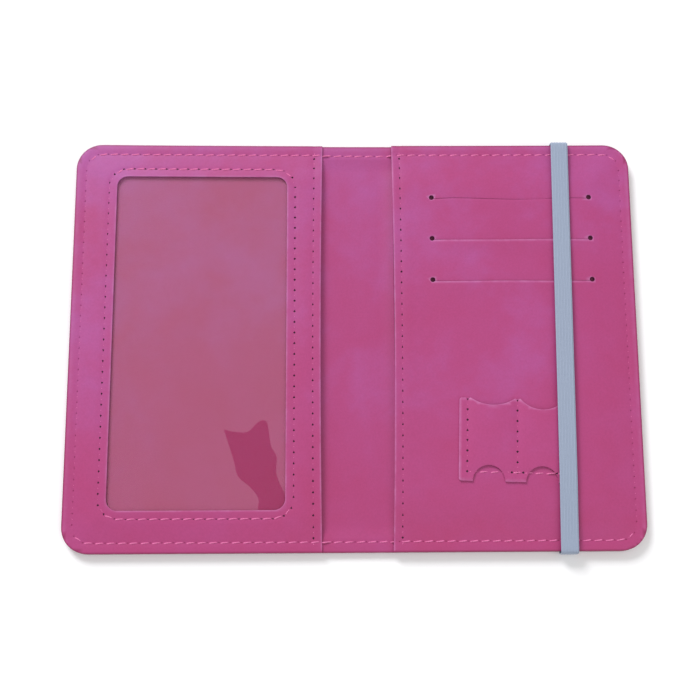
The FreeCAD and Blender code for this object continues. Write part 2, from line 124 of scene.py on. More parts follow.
def angle(name, description, degrees):
    return FloatProperty(name=name, description=description, unit="ROTATION", default=math.radians(degrees))


class HolderSizes(bpy.types.PropertyGroup):
    corner: size("Corner", "Radius of the outer corners", 9)
    seam_inset: size("Seam inset", "Edge of the holder to the border seam", 3.5)
    hem: size("Hem", "Thickness of the outer skin's turned-in edge", 0.65)
    hem_width: size("Hem width", "Width of that turned-in edge", 4.3)
    pillow: size("Pillow", "Width over which a panel rises from its border seam", 10)
    tape: size("Tape", "Thickness of each glued strip in the back border", 0.24)
    front_level: size("Front panel level", "Underside of the front panel, with nothing in its pocket", 2.62)
    back_level: size("Back panel level", "Underside of the card panel, with nothing in its pockets", 3.3)
    gape: size("Gape", "Lift of each pocket mouth, half way along it", 0.6)
    lip: size("Slit lip", "Height of a card slit's lower lip over its upper one", 0.46)
    groove: size("Groove", "Depth of the leather under a seam", 0.16)
    groove_width: size("Groove width", "Half width of that groove", 0.75)
    mouth_hem: size("Mouth hem", "Pocket mouth to its seam", 2.8)
    rim: size("Rim", "Rounding of a sheet's edges", 0.22)
    net: size("Net", "Spacing of the net over the leather", 1.9)
    pitch: size("Stitch pitch", "Needle hole to needle hole", 3.8)
    thread: size("Thread", "Diameter of the sewing thread", 0.48)
    needle: size("Needle hole", "Half width of a needle hole", 0.46)
    border_needle: size("Border needle hole", "Half width of a needle hole in the border", 0.34)
    window_radius: size("Window corners", "Radius of the window's corners", 3.8)
    window_seam: size("Window seam", "Window edge out to its seam", 2.8)
    window_margin: size("Film margin", "Film beyond the edge of the window", 5)
    hole: size("Slit hole", "Diameter of the punched hole at each end of a slit", 1.8)
    bend: size("Bend", "Half width of the leather that bends at each fold", 3.4)


class HolderColours(bpy.types.PropertyGroup):
    # The three leather tones make random clouds, and also painted sheen: orchid towards the top and left,
    # red towards the bottom.
    red: colour("Red", "Leather, redder clouds", 167, 52, 103)
    pink: colour("Pink", "Leather, middle tone", 169, 62, 119)
    orchid: colour("Orchid", "Leather, lighter and bluer clouds", 170, 82, 150)
    # Edge paint: also painted shade, darkening the cut side walls that face away from the light.
    edge: colour("Edge paint", "Paint on the cut outer edges", 122, 30, 68)
    # Worn edge: rubbed wear, and also painted highlight on lit rims, cut edges, slit lips, hole rims and
    # pocket mouths.
    worn_and_highlit: colour("Worn edge", "Leather where edges are rubbed", 204, 138, 190)
    thread: colour("Thread", "Sewing thread", 146, 46, 94)
    # Needle hole: painted shade inside each needle hole, also used in the hollows of the liner's weave.
    hole_shade: colour("Needle hole", "Inside of a needle hole", 62, 16, 46)
    elastic: colour("Elastic", "Raised ribs of the band", 160, 172, 192)
    elastic_shade: colour("Elastic shade", "Between the ribs of the band", 132, 144, 166)
    haze: colour("Haze", "Window film where air lies under it", 184, 138, 136)
    wet: colour("Clinging film", "Window film where it clings to the lining", 150, 8, 40)
    cloth: colour("Liner", "Cloth between cards and passport", 120, 52, 84)
    board: colour("Board", "Stiffener", 176, 156, 132)
    floor: colour("Floor", "Ground under the holder", 250, 250, 250)


class HolderView(bpy.types.PropertyGroup):
    tilt: angle("Tilt", "Camera's lean from straight above", 12.6)
    turn: angle("Turn", "Camera's place round the holder", -4.2)
    roll: angle("Roll", "Camera's own roll", -0.25)
    distance: size("Distance", "Camera to the point it looks at", 451)
    aside: size("Aim across", "Point it looks at, across the holder", -1.4)
    along: size("Aim along", "Point it looks at, along the holder", -2.1)
    lens: FloatProperty(name="Lens", description="Focal length in millimetres", default=66.9)


def sizes():
    return bpy.context.scene.holder_sizes


def colours():
    return bpy.context.scene.holder_colours


# Heights and outlines


def ease(share):
    share = min(max(share, 0.0), 1.0)
    return share * share * (3 - 2 * share)


def bump(distance, width):
    return math.exp(-(distance / width) ** 2)


def side_of(x):
    return -1 if x < 0 else 1


def depth_inside(x, y, half_x, half_y, radius):
    """How far a point lies inside a rectangle with rounded corners, centred on the origin."""
    over_x, over_y = abs(x) - (half_x - radius), abs(y) - (half_y - radius)
    return radius - math.hypot(max(over_x, 0), max(over_y, 0)) - min(max(over_x, over_y), 0)


def from_edge(x, y):
    """How far a point is from the holder's edge."""
    return depth_inside(x, y, HALF_WIDTH, HALF_HEIGHT, sizes().corner)


class Window:
    """The opening in the front pocket panel."""

    def __init__(self):
        margin = sizes().window_margin
        self.left, self.right = FILM_LOW.x + margin, FILM_HIGH.x - margin
        self.bottom, self.top = FILM_LOW.y + margin, FILM_HIGH.y - margin
        self.radius = sizes().window_radius
        self.middle = Vector(((self.left + self.right) / 2, (self.bottom + self.top) / 2))
        self.half = Vector(((self.right - self.left) / 2, (self.top - self.bottom) / 2))

    def depth(self, x, y):
        """How far a point lies inside the opening; below zero outside."""
        return depth_inside(x - self.middle.x, y - self.middle.y, *self.half, self.radius)


def hem_height(x, y, reach):
    """Height of the outer skin's turned-in edge, which falls away over the given reach."""
    return sizes().hem * (1 - ease((from_edge(x, y) - sizes().hem_width) / reach))


def lining_floor(x, y):
    """Underside of the lining: on the skin along the spine, and over the hem or the board elsewhere."""
    off_board = max(BOARD_ENDS[side_of(x)] - abs(x), BOARD_MARGIN - from_edge(x, y))
    over_board = (BOARD_TOP - SKIN_TOP) * (1 - ease(off_board / MM))
    return SKIN_TOP + max(over_board, hem_height(x, y, 2.5 * MM))


def lining_top(x, y):
    return lining_floor(x, y) + LINING_THICKNESS


def puff(x, y):
    """A slow unevenness of the pocket panels, within a tenth of a millimetre or two."""
    return 0.16 * MM * noise.noise(Vector((x / (34 * MM), y / (46 * MM), 1.7)))


def panel_floor(x, y):
    """Underside of a pocket panel.  It rises from the sewn border, and gapes a little at its mouth."""
    if x < 0:
        level, filling, pillow = sizes().front_level, 0.06 * MM, sizes().pillow
    else:
        level, filling, pillow = sizes().back_level, 2 * sizes().tape + 0.04 * MM, 1.4 * sizes().pillow
    border = SPINE_TOP + sizes().hem + filling
    inward = from_edge(x, y) - sizes().seam_inset
    rise = ease(inward / pillow)
    gape = sizes().gape * bump(x - MOUTHS[side_of(x)], 9 * MM) * (1 - (y / HALF_HEIGHT) ** 2)
    return max(border + (level - border + gape + puff(x, y)) * rise, lining_top(x, y) + filling)


def border_groove(x, y):
    """Depth of the leather's dip under the border seam."""
    return sizes().groove * bump(from_edge(x, y) - sizes().seam_inset, sizes().groove_width)


def mouth_seam(side):
    return MOUTHS[side] + side * sizes().mouth_hem


def mouth_groove(x):
    return 0.8 * sizes().groove * bump(x - mouth_seam(side_of(x)), sizes().groove_width)


def front_dip(x, y):
    window = Window()
    around = bump(window.depth(x, y) + sizes().window_seam, sizes().groove_width)
    return max(border_groove(x, y), mouth_groove(x), 0.8 * sizes().groove * around)


def back_dip(x, y):
    return max(border_groove(x, y), mouth_groove(x))


def front_surface(x, y):
    return panel_floor(x, y) + PANEL_THICKNESS - front_dip(x, y)


def back_surface(x, y):
    return panel_floor(x, y) + PANEL_THICKNESS - back_dip(x, y)


PANEL_SURFACES = {-1: front_surface, 1: back_surface}


def bowed(x, y):
    """The x of a point of a pocket panel, because both mouths are cut in a slight bow."""
    share = y / HALF_HEIGHT
    if x < 0:
        shift = 0.2 * MM - 0.6 * MM * (1 - share ** 2)
    else:
        shift = 0.75 * MM * (1 - share ** 2) + 0.35 * MM * share - 0.1 * MM
    return x + shift * ease(1 - abs(x - MOUTHS[side_of(x)]) / (8 * MM))


def bow(bm):
    for vertex in bm.verts:
        vertex.co.x = bowed(vertex.co.x, vertex.co.y)


def drift(x, y):
    """How far the holder's outline strays along Y from a true rectangle: sewn leather pulls a little."""
    share, up = x / HALF_WIDTH, (y / HALF_HEIGHT + 1) / 2
    return MM * (up * (0.45 * share ** 2 - 0.25) + (1 - up) * (0.2 + 0.3 * share))


# Flat plates, and what is done to them


def marks(low, high, keys, step):
    """Lines to score between low and high: every key, and evenly spaced ones between the keys."""
    stops = [low, *sorted(k for k in keys if low + 0.1 * MM < k < high - 0.1 * MM), high]
    lines = []
    for start, end in zip(stops, stops[1:]):
        count = max(1, round((end - start) / step))
        lines += [start + (end - start) * i / count for i in range(count)]
    return lines[1:]


def edge_marks():
    """Distances from an edge at which the border is scored."""
    inset, pillow = sizes().seam_inset, sizes().pillow
    seam = [inset - 1.5 * MM, inset - 0.7 * MM, inset, inset + 0.7 * MM, inset + 1.6 * MM]
    return [0.7 * MM, *seam, *(inset + pillow * share for share in (0.42, 0.6, 0.8, 1.0))]


def plate(left, right, bottom, top, radius=0.0, rounded=None):
    """A flat rectangle.  The corners that pass the test rounded become arcs."""
    bm = bmesh.new()
    bmesh.ops.create_grid(bm, x_segments=1, y_segments=1, size=0.5)
    bmesh.ops.scale(bm, vec=(right - left, top - bottom, 1), verts=bm.verts)
    bmesh.ops.translate(bm, vec=((left + right) / 2, (bottom + top) / 2, 0), verts=bm.verts)
    if radius:
        corners = [v for v in bm.verts if rounded is None or rounded(v.co)]
        bmesh.ops.bevel(bm, geom=corners, offset=radius, offset_type="OFFSET", affect="VERTICES",
                        segments=12, profile=0.5, material=-1)
    return bm


def score(bm, xs, ys):
    """Cuts the sheet into a net along lines of constant x and of constant y."""
    for axis, places in ((Vector((1, 0, 0)), xs), (Vector((0, 1, 0)), ys)):
        for place in places:
            everything = bm.verts[:] + bm.edges[:] + bm.faces[:]
            bmesh.ops.bisect_plane(bm, geom=everything, dist=1e-7, plane_co=axis * place, plane_no=axis)


def cover_plate(side, inner, inset=0.0):
    """A plate from x = inner out to the fore edge of one cover, whose two outer corners are round."""
    left, right = sorted((inner, side * (HALF_WIDTH - inset)))
    return plate(left, right, inset - HALF_HEIGHT, HALF_HEIGHT - inset, sizes().corner - inset,
                 lambda co: abs(co.x - inner) > 1 * MM)


def score_cover(bm, side, inner, step, rim=(), xs=(), ys=(), inset=0.0):
    """Scores a cover's plate into a net, with more lines at distances rim from its edge and at xs and ys."""
    left, right = sorted((inner, side * (HALF_WIDTH - inset)))
    xs = [*(side * (HALF_WIDTH - d) for d in rim), *xs]
    ys = [*(s * (HALF_HEIGHT - d) for d in rim for s in (-1, 1)), *ys]
    score(bm, marks(left, right, xs, step), marks(-HALF_HEIGHT, HALF_HEIGHT, ys, step))


def nearest(bm, x, y):
    return min(bm.verts, key=lambda v: (v.co.x - x) ** 2 + (v.co.y - y) ** 2)


def tree_of(points):
    """Finds the nearest of some points, as its number in the list."""
    tree = kdtree.KDTree(len(points))
    for i, point in enumerate(points):
        tree.insert(point, i)
    tree.balance()
    return tree


def cut_window(bm, window):
    """Takes out the window, and fills its four corners back to their arcs."""
    radius = window.radius
    score(bm, (window.left, window.left + radius, window.right - radius, window.right),
          (window.bottom, window.bottom + radius, window.top - radius, window.top))
    inside = [f for f in bm.faces if window.depth(*f.calc_center_median().xy) > 0]
    bmesh.ops.delete(bm, geom=inside, context="FACES")
    for side_x in (-1, 1):
        for side_y in (-1, 1):
            fill_corner(bm, window.middle.x + side_x * window.half.x,
                        window.middle.y + side_y * window.half.y, -side_x, -side_y, radius)


def fill_corner(bm, x, y, inward_x, inward_y, radius, steps=8):
    """A face between a square corner and the arc that rounds it from inside."""
    centre = Vector((x + inward_x * radius, y + inward_y * radius, 0))
    ring = [nearest(bm, x, y), nearest(bm, centre.x, y)]
    for i in range(1, steps):
        turn = math.pi / 2 * i / steps
        out = Vector((inward_x * math.sin(turn), inward_y * math.cos(turn), 0))
        ring.append(bm.verts.new(centre - radius * out))
    ring.append(nearest(bm, x, centre.y))
    bm.faces.new(ring)


def thicken(bm, thickness):
    """Turns a flat net into a closed sheet with its underside at zero."""
    made = bmesh.ops.extrude_face_region(bm, geom=bm.faces[:], use_keep_orig=True)
    top = [g for g in made["geom"] if isinstance(g, bmesh.types.BMVert)]
    bmesh.ops.translate(bm, vec=(0, 0, thickness), verts=top)
    bmesh.ops.recalc_face_normals(bm, faces=bm.faces[:])


def round_rims(bm, radius, segments=2):
    """Rounds the edges between the faces of a sheet and its cut sides, but not where two sheets join."""
    rims = []
    for edge in bm.edges:
        level = abs(edge.verts[0].co.z - edge.verts[1].co.z) < 1e-6
        joined = all(abs(v.co.x) < 1e-6 for v in edge.verts)
        if level and not joined and len(edge.link_faces) == 2 and edge.calc_face_angle() > 1:
            rims.append(edge)
    bmesh.ops.bevel(bm, geom=rims, offset=radius, offset_type="OFFSET", affect="EDGES", segments=segments,
                    profile=0.5, material=-1, clamp_overlap=True)


def pierce(bm, places, level, sink, radius, material=1):
    """Sinks a needle hole at each place in the face of the sheet at that level."""
    at_level = [v for v in bm.verts if abs(v.co.z - level) < 1e-7]
    tree = tree_of([v.co for v in at_level])
    chosen = {}
    for place in places:
        target = Vector((place.x, place.y, level))
        _, index, distance = tree.find(target)
        if distance < 0.9 * sizes().net and index not in chosen:
            chosen[index] = target
    for index, target in chosen.items():
        at_level[index].co = target
    bmesh.ops.bevel(bm, geom=[at_level[index] for index in chosen], offset=radius, offset_type="OFFSET",
                    affect="VERTICES", segments=1, profile=0.5, material=-1)
    holes = tree_of([*chosen.values()])
    pits = []
    for face in bm.faces:
        if face.calc_area() < 3 * radius ** 2 and abs(face.verts[0].co.z - level) < 1e-6:
            if all(holes.find(v.co)[2] < 1.05 * radius for v in face.verts):
                pits.append(face)
    for face in bmesh.ops.extrude_discrete_faces(bm, faces=pits)["faces"]:
        centre = face.calc_center_median()
        for vertex in face.verts:
            vertex.co = centre + 0.6 * (vertex.co - centre) + Vector((0, 0, sink))
        # Painted shade: the hole's walls take the given material, the dark needle-hole colour unless it is
        # 0.
        for edge in face.edges:
            for wall in edge.link_faces:
                wall.material_index = material


def lay(bm, floor, thickness, dip=None):
    """Lays a flat sheet on its floor.  The dip lowers only its upper face."""
    for vertex in bm.verts:
        x, y, height = vertex.co
        if dip:
            height -= dip(x, y) * height / thickness
        vertex.co.z = floor(x, y) + height


def as_mesh(bm, name):
    mesh = bpy.data.meshes.new(name)
    bm.to_mesh(mesh)
    bm.free()
    return mesh


def as_object(name, data):
    obj = bpy.data.objects.new(name, data)
    bpy.context.scene.collection.objects.link(obj)
    return obj


def new_piece(bm, name, slot, *materials, sharp=math.radians(38)):
    """Makes a finished object of a bmesh, smooth but for its true edges."""
    for vertex in bm.verts:
        vertex.co.y += drift(vertex.co.x, vertex.co.y)
    mesh = as_mesh(bm, name)
    for material in materials:
        mesh.materials.append(material)
    mesh.shade_smooth()
    mesh.set_sharp_from_angle(angle=sharp)
    return as_object(name, mesh)


def fit(piece, body, *nodes):
    """Puts a piece in the place of CAD nodes, on the body that it moves with."""
    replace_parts(piece, *nodes)
    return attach(piece, body)


def mark_wear_and_painted_light(bm, distance, width=0.4 * MM):
    """Writes how rubbed and how lit each point of a flat sheet is, by its distance from a free edge: wear
    and painted highlight.  The cut outer edge has -1, for its dark edge paint, which is also painted shade."""
    wear_and_painted_light = bm.verts.layers.float.new("wear_and_painted_light")
    for vertex in bm.verts:
        x, y = vertex.co.xy
        vertex[wear_and_painted_light] = -1 if from_edge(x, y) < 0.1 * MM else bump(distance(x, y), width)


def worn_and_lit_rim(x, y):
    """Distance from the outer rim, which takes wear and painted highlight everywhere but along the lower
    side, away from the light.
    """
    return 0.6 * from_edge(x, y) if y > 4 * MM - HALF_HEIGHT else 1.0


# Seams


def distances_along(points):
    distances = [0.0]
    for start, end in zip(points, points[1:]):
        distances.append(distances[-1] + (end - start).length)
    return distances


def even_places(route, pitch):
    """Points at an even pitch along a route of close points."""
    lengths = distances_along(route)
    count = max(1, round(lengths[-1] / pitch))
    places, leg = [], 0
    for i in range(count + 1):
        wanted = lengths[-1] * i / count
        while leg < len(route) - 2 and lengths[leg + 1] < wanted:
            leg += 1
        share = (wanted - lengths[leg]) / (lengths[leg + 1] - lengths[leg])
        places.append(route[leg].lerp(route[leg + 1], share))
    return places


def arc(x, y, radius, start, turn, steps=10):
    angles = [math.radians(start + turn * i / steps) for i in range(steps + 1)]
    return [Vector((x + radius * math.cos(a), y + radius * math.sin(a), 0)) for a in angles]


def border_route(side):
    """The border seam of one half, from the middle of the top edge round to the middle of the bottom."""
    inset, corner = sizes().seam_inset, sizes().corner
    x, y, radius = HALF_WIDTH - corner, HALF_HEIGHT - corner, corner - inset
    route = [Vector((0, HALF_HEIGHT - inset, 0)), *arc(x, y, radius, 90, -90), *arc(x, -y, radius, 0, -90),
             Vector((0, inset - HALF_HEIGHT, 0))]
    return [Vector((side * p.x, p.y, 0)) for p in route]


def window_route():
    window, offset = Window(), sizes().window_seam
    radius = window.radius + offset
    half_x, half_y = window.half.x - window.radius, window.half.y - window.radius
    route = []
    for turn, (sign_x, sign_y) in enumerate(((1, 1), (-1, 1), (-1, -1), (1, -1))):
        route += arc(window.middle.x + sign_x * half_x, window.middle.y + sign_y * half_y, radius,
                     90 * turn, 90)
    return [*route, route[0]]


def mouth_route(side):
    x, reach = mouth_seam(side), HALF_HEIGHT - 0.9 * MM
    return [Vector((x, reach, 0)), Vector((x, -reach, 0))]


def sweep(bm, ring, stations):
    """Draws a ring of edges, made at the origin, from the first station through to the last."""
    bmesh.ops.transform(bm, matrix=stations[0], verts=bm.verts[:])
    for start, end in zip(stations, stations[1:]):
        made = bmesh.ops.extrude_edge_only(bm, edges=ring)["geom"]
        ring = [g for g in made if isinstance(g, bmesh.types.BMEdge)]
        verts = [g for g in made if isinstance(g, bmesh.types.BMVert)]
        bmesh.ops.transform(bm, matrix=end @ start.inverted(), verts=verts)
    bmesh.ops.holes_fill(bm, edges=bm.edges[:], sides=0)
    bmesh.ops.recalc_face_normals(bm, faces=bm.faces[:])


def stitch_shape():
    """One stitch along X, sunk at both ends: two plies of thread, twisted."""
    length, radius = sizes().pitch, sizes().thread / 2
    bm = bmesh.new()
    bmesh.ops.create_circle(bm, cap_ends=False, segments=8, radius=radius,
                            matrix=Matrix.Rotation(math.pi / 2, 4, "Y"))
    for vertex in bm.verts:
        vertex.co *= 1 + 0.14 * math.cos(2 * math.atan2(vertex.co.y, vertex.co.z))
    shares = (0.0, 0.08, 0.17, 0.3, 0.5, 0.7, 0.86, 1.0)
    levels = (-2.8, -1.5, -0.4, 0.05, 0.15, -0.1, -1.0, -2.8)
    sweep(bm, bm.edges[:], [Matrix.Translation(((share - 0.5) * length, 0, level * radius))
                            @ Matrix.Rotation(1.5 * math.pi * share, 4, "X")
                            for share, level in zip(shares, levels)])
    return as_mesh(bm, "stitch")


def sew(bm, shape, places, surface, lean=0.22 * MM, flip=1):
    """Adds a stitch between each two places, pulled deeper where the seam runs along the holder's
    height.  flip is -1 on the outside, where the seam faces down."""
    count = len(shape.vertices)
    for start, end in zip(places, places[1:]):
        along = (end - start).normalized()
        across = Vector((-along.y, along.x, 0)) * lean
        first, last = start - across, end + across
        deeper = flip * 0.23 * MM * along.y ** 2
        first.z, last.z = surface(*start.xy) - deeper, surface(*end.xy) - deeper
        axis = (last - first).normalized()
        side = Vector((0, 0, flip)).cross(axis).normalized()
        turn = Matrix((axis, side, axis.cross(side))).transposed().to_4x4()
        stretch = Matrix.Diagonal((((last - first).length) / sizes().pitch, 1, 1, 1))
        place = Matrix.Translation((first + last) / 2) @ turn @ stretch
        bm.from_mesh(shape)
        bmesh.ops.transform(bm, matrix=place, verts=bm.verts[:][-count:])


# Materials


class Nodes:
    """Adds shader nodes to a material by short calls."""

    def __init__(self, name):
        self.material = bpy.data.materials.new(name)
        self.material.use_nodes = True
        self.tree = self.material.node_tree
        self.shader = self.tree.nodes["Principled BSDF"]

    def add(self, kind, settings=None, **inputs):
        node = self.tree.nodes.new(kind)
        for key, value in (settings or {}).items():
            setattr(node, key, value)
        for key, value in inputs.items():
            socket = node.inputs[int(key[1:])] if key[0] == "i" and key[1:].isdigit() else node.inputs[key]
            self.link(value, socket)
        return node

    def link(self, value, socket):
        if isinstance(value, bpy.types.NodeSocket):
            self.tree.links.new(value, socket)
        else:
            socket.default_value = value

    def math(self, operation, a, b=0.0):
        return self.add("ShaderNodeMath", {"operation": operation}, i0=a, i1=b).outputs[0]

    def grey(self, value):
        return self.add("ShaderNodeCombineColor", Red=value, Green=value, Blue=value).outputs[0]

    def split(self, vector):
        return self.add("ShaderNodeSeparateXYZ", Vector=vector).outputs

    def mix(self, share, a, b, blend="MIX"):
        node = self.add("ShaderNodeMix", {"data_type": "RGBA", "blend_type": blend}, i0=share, i6=a, i7=b)
        return node.outputs[2]

    def noise(self, scale, detail=2.0, roughness=0.5, vector=None):
        node = self.add("ShaderNodeTexNoise", Vector=vector or self.place(), Scale=scale, Detail=detail,
                        Roughness=roughness)
        return node.outputs["Fac"]

    def place(self):
        return self.add("ShaderNodeTexCoord").outputs["Object"]

    def span(self, value, low, high, new_low=0.0, new_high=1.0):
        """Maps a value from one range to another, held within it."""
        node = self.add("ShaderNodeMapRange", i0=value, i1=low, i2=high, i3=new_low, i4=new_high)
        return node.outputs[0]

    def bump(self, height, strength, distance, normal=None):
        node = self.add("ShaderNodeBump", Height=height, Strength=strength, Distance=distance)
        if normal:
            self.link(normal, node.inputs["Normal"])
        return node.outputs["Normal"]

    def finish(self, **inputs):
        for key, value in inputs.items():
            self.link(value, self.shader.inputs[key.replace("_", " ")])
        return self.material


def rgba(value):
    return (*value, 1.0)


def leather(name, lightness=1.0, cloudiness=1.0):
    """Smooth coated leather: red and orchid clouds, with painted sheen that turns it orchid towards the top
    and left and red towards the bottom, a very fine grain, rims paler with wear and painted highlight, and a
    cut edge darkened with edge paint and painted shade.
    """
    if name in bpy.data.materials:
        return bpy.data.materials[name]
    n = Nodes(name)
    c = colours()
    place = n.place()
    across, along, _ = n.split(place)
    clouds = n.noise(26.0, 3.0, 0.55, place)
    mottle = n.noise(150.0, 4.0, 0.6, place)
    # Painted sheen: the tone drifts towards orchid at the top and the left, where the light comes from, and
    # towards red at the bottom.
    painted_sheen = n.math("ADD", n.math("MULTIPLY", along, 2.2), n.math("MULTIPLY", across, -0.7))
    shade = n.math("ADD", n.math("MULTIPLY", clouds, 0.95 * cloudiness), n.math("MULTIPLY", mottle, 0.35))
    shade = n.math("ADD", shade, painted_sheen)
    middle = 0.5 * (0.95 * cloudiness + 0.35)
    ramp = n.add("ShaderNodeValToRGB", Fac=n.span(shade, middle - 0.45, middle + 0.45)).outputs["Color"]
    stops = ramp.node.color_ramp.elements
    stops[0].color, stops[1].color = rgba(c.red), rgba(c.orchid)
    stops.new(0.5).color = rgba(c.pink)
    speck = n.span(n.noise(1500.0, 2.0, 0.5, place), 0.3, 0.7, 0.955 * lightness, 1.03 * lightness)
    dyed = n.mix(1.0, ramp, n.grey(speck), "MULTIPLY")
    # This attribute holds wear and painted highlight, which make rims paler, and at -1 the cut edge,
    # darkened with edge paint and painted shade.
    wear_and_painted_light = n.add("ShaderNodeAttribute", {"attribute_name": "wear_and_painted_light"}).outputs["Fac"]
    rubbed_and_highlit = n.math("MULTIPLY", wear_and_painted_light, n.span(n.noise(220.0, 3.0, 0.6, place), 0.35, 0.7, 0.15, 0.5))
    # Edge paint and painted shade: the cut outer edge is darkened to the edge colour.
    edge_paint_and_shade = n.math("MULTIPLY", wear_and_painted_light, -0.8)
    tone = n.mix(edge_paint_and_shade, n.mix(rubbed_and_highlit, dyed, rgba(c.worn_and_highlit)), rgba(c.edge))
    pebbles = n.add("ShaderNodeTexVoronoi", {"feature": "SMOOTH_F1"}, Vector=place, Scale=1500.0,
                    Smoothness=0.6).outputs["Distance"]
    creases = n.noise(420.0, 4.0, 0.6, place)
    soft = n.bump(creases, 0.22, 0.12 * MM)
    grain = n.bump(pebbles, 0.3, 0.05 * MM, soft)
    roughness = n.span(n.noise(70.0, 3.0, 0.5, place), 0.3, 0.7, 0.47, 0.54)
    return n.finish(Base_Color=tone, Roughness=roughness, Normal=grain, Sheen_Weight=0.05,
                    Sheen_Roughness=0.45, Sheen_Tint=(0.82, 0.7, 1.0, 1.0), Specular_IOR_Level=0.35)


# Painted shade: the dark walls of a needle hole.
def hole_shade_material():
    return plain("needle hole", colours().hole_shade, 0.8)


def plain(name, tone, roughness, fleck=0.12, scale=900.0):
    """A matt finish with a fine fleck, for what is hardly seen."""
    if name in bpy.data.materials:
        return bpy.data.materials[name]
    n = Nodes(name)
    grains = n.span(n.noise(scale, 3.0, 0.6), 0.3, 0.7, 1 - fleck, 1 + fleck)
    return n.finish(Base_Color=n.mix(1.0, rgba(tone), n.grey(grains), "MULTIPLY"), Roughness=roughness,
                    Normal=n.bump(grains, 0.3, 0.05 * MM))


def thread_material():
    if "thread" in bpy.data.materials:
        return bpy.data.materials["thread"]
    n = Nodes("thread")
    fibres = n.noise(3500.0, 3.0, 0.7)
    tone = n.mix(n.span(fibres, 0.3, 0.7, 0.0, 0.35), rgba(colours().thread), rgba(colours().red))
    return n.finish(Base_Color=tone, Roughness=0.55, Specular_IOR_Level=0.3,
                    Normal=n.bump(fibres, 0.4, 0.04 * MM))


def elastic_material():
    """Ribbed woven elastic, on its own map: u runs across the band and v along it, in metres."""
    n = Nodes("elastic")
    across, along, _ = n.split(n.add("ShaderNodeUVMap", {"uv_map": "weave"}).outputs[0])
    ribs = n.math("SINE", n.math("MULTIPLY", across, 2 * math.pi / (1 * MM)))
    wefts = n.math("SINE", n.math("ADD", n.math("MULTIPLY", along, 2 * math.pi / (0.62 * MM)), 0.5))
    loops = n.math("MULTIPLY", n.math("ABSOLUTE", wefts), n.math("ABSOLUTE", ribs))
    fibre = n.noise(2600.0, 3.0, 0.7)
    height = n.math("ADD", n.math("MULTIPLY", loops, 0.7), n.math("MULTIPLY", fibre, 0.5))
    tone = n.mix(n.span(height, 0.15, 0.95), rgba(colours().elastic_shade), rgba(colours().elastic))
    return n.finish(Base_Color=tone, Roughness=0.7, Sheen_Weight=0.35, Sheen_Roughness=0.4,
                    Normal=n.bump(height, 0.7, 0.1 * MM))


def cloth_material():
    n = Nodes("liner cloth")
    across, along, _ = n.split(n.place())
    turns = 2 * math.pi / (0.5 * MM)
    warp = n.math("SINE", n.math("MULTIPLY", across, turns))
    weft = n.math("SINE", n.math("MULTIPLY", along, turns))
    weave = n.math("MULTIPLY", warp, weft)
    # Painted shade: the hollows of the weave are darkened towards the needle-hole colour.
    tone = n.mix(n.span(weave, -1.0, 1.0, 0.0, 0.5), rgba(colours().cloth), rgba(colours().hole_shade))
    return n.finish(Base_Color=tone, Roughness=0.75, Normal=n.bump(weave, 0.5, 0.04 * MM))


def film_material(name, tone, alpha, roughness):
    """Clear soft film, seen through, with faint waves and scuffs in its gloss."""
    n = Nodes(name)
    waves = n.noise(38.0, 2.0, 0.4)
    scuffs = n.span(n.noise(600.0, 4.0, 0.7), 0.45, 0.75, roughness, roughness + 0.12)
    return n.finish(Base_Color=rgba(tone), Roughness=scuffs, Alpha=alpha, Specular_IOR_Level=0.5,
                    Normal=n.bump(waves, 0.25, 0.6 * MM))


# Pieces


def bend_band(side):
    """Where the leather at a fold starts to bend and where it has joined the spine, on one side."""
    reach = Vector((side * sizes().bend, 0, 0))
    return FOLDS[side] + reach, FOLDS[side] - reach


def follow_fold(piece):
    """Bakes a piece's placement into its mesh; the piece is not made to bend."""
    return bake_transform(piece)


def fold_keys(side):
    """Close lines over the fold, spaced evenly across its bend band."""
    start, end = bend_band(side)
    return [start.x + (end.x - start.x) * i / 8 for i in range(9)]


def outer_skin_floor(x, y):
    """The outside lies flat, but for a shallow channel that takes the seam's lower thread."""
    inset = sizes().seam_inset
    channel = 0.3 * MM * bump(from_edge(x, y) - inset, 0.8 * MM)
    border = 0.1 * MM * (1 - ease(from_edge(x, y) / (1.4 * MM)))
    return channel + border


def skin_hem(x, y):
    """The turned-in edge, left out where the ends of the band are sewn in."""
    beside = min(abs(x - BAND_LOW.x + 0.7 * MM), abs(x - BAND_HIGH.x - 0.3 * MM))
    if BAND_LOW.x - 0.7 * MM < x < BAND_HIGH.x + 0.3 * MM:
        return hem_height(x, y, 0.6 * MM) * (1 - ease(beside / (0.2 * MM)))
    return hem_height(x, y, 0.6 * MM)


def outer_skin_half(side):
    """One half of the outer skin, from the middle of the spine, with its edge turned in all round."""
    hem = sizes().hem_width
    keys = [*fold_keys(side), *(BAND_LOW.x + d * MM for d in (-0.7, -0.5)),
            *(BAND_HIGH.x + d * MM for d in (0.1, 0.3))]
    bm = cover_plate(side, 0.0)
    score_cover(bm, side, 0.0, COARSE_NET, [*edge_marks()[:5], hem, hem + 0.6 * MM], keys)
    thicken(bm, SKIN_TOP)
    pierce(bm, even_places(border_route(side), sizes().pitch), 0.0, SHALLOW_HOLE,
           sizes().border_needle, 0)
    round_rims(bm, sizes().rim)
    # Rims paler with wear and painted highlight; the cut edge darkened with edge paint and painted shade.
    mark_wear_and_painted_light(bm, worn_and_lit_rim)
    for vertex in bm.verts:
        x, y, height = vertex.co
        share = height / SKIN_TOP
        vertex.co.z = height + outer_skin_floor(x, y) * (1 - share) + skin_hem(x, y) * share
    piece = new_piece(bm, "outer_skin_" + HALVES[side], "outer_leather", leather("outer leather"),
                      hole_shade_material())
    follow_fold(piece)
    return piece


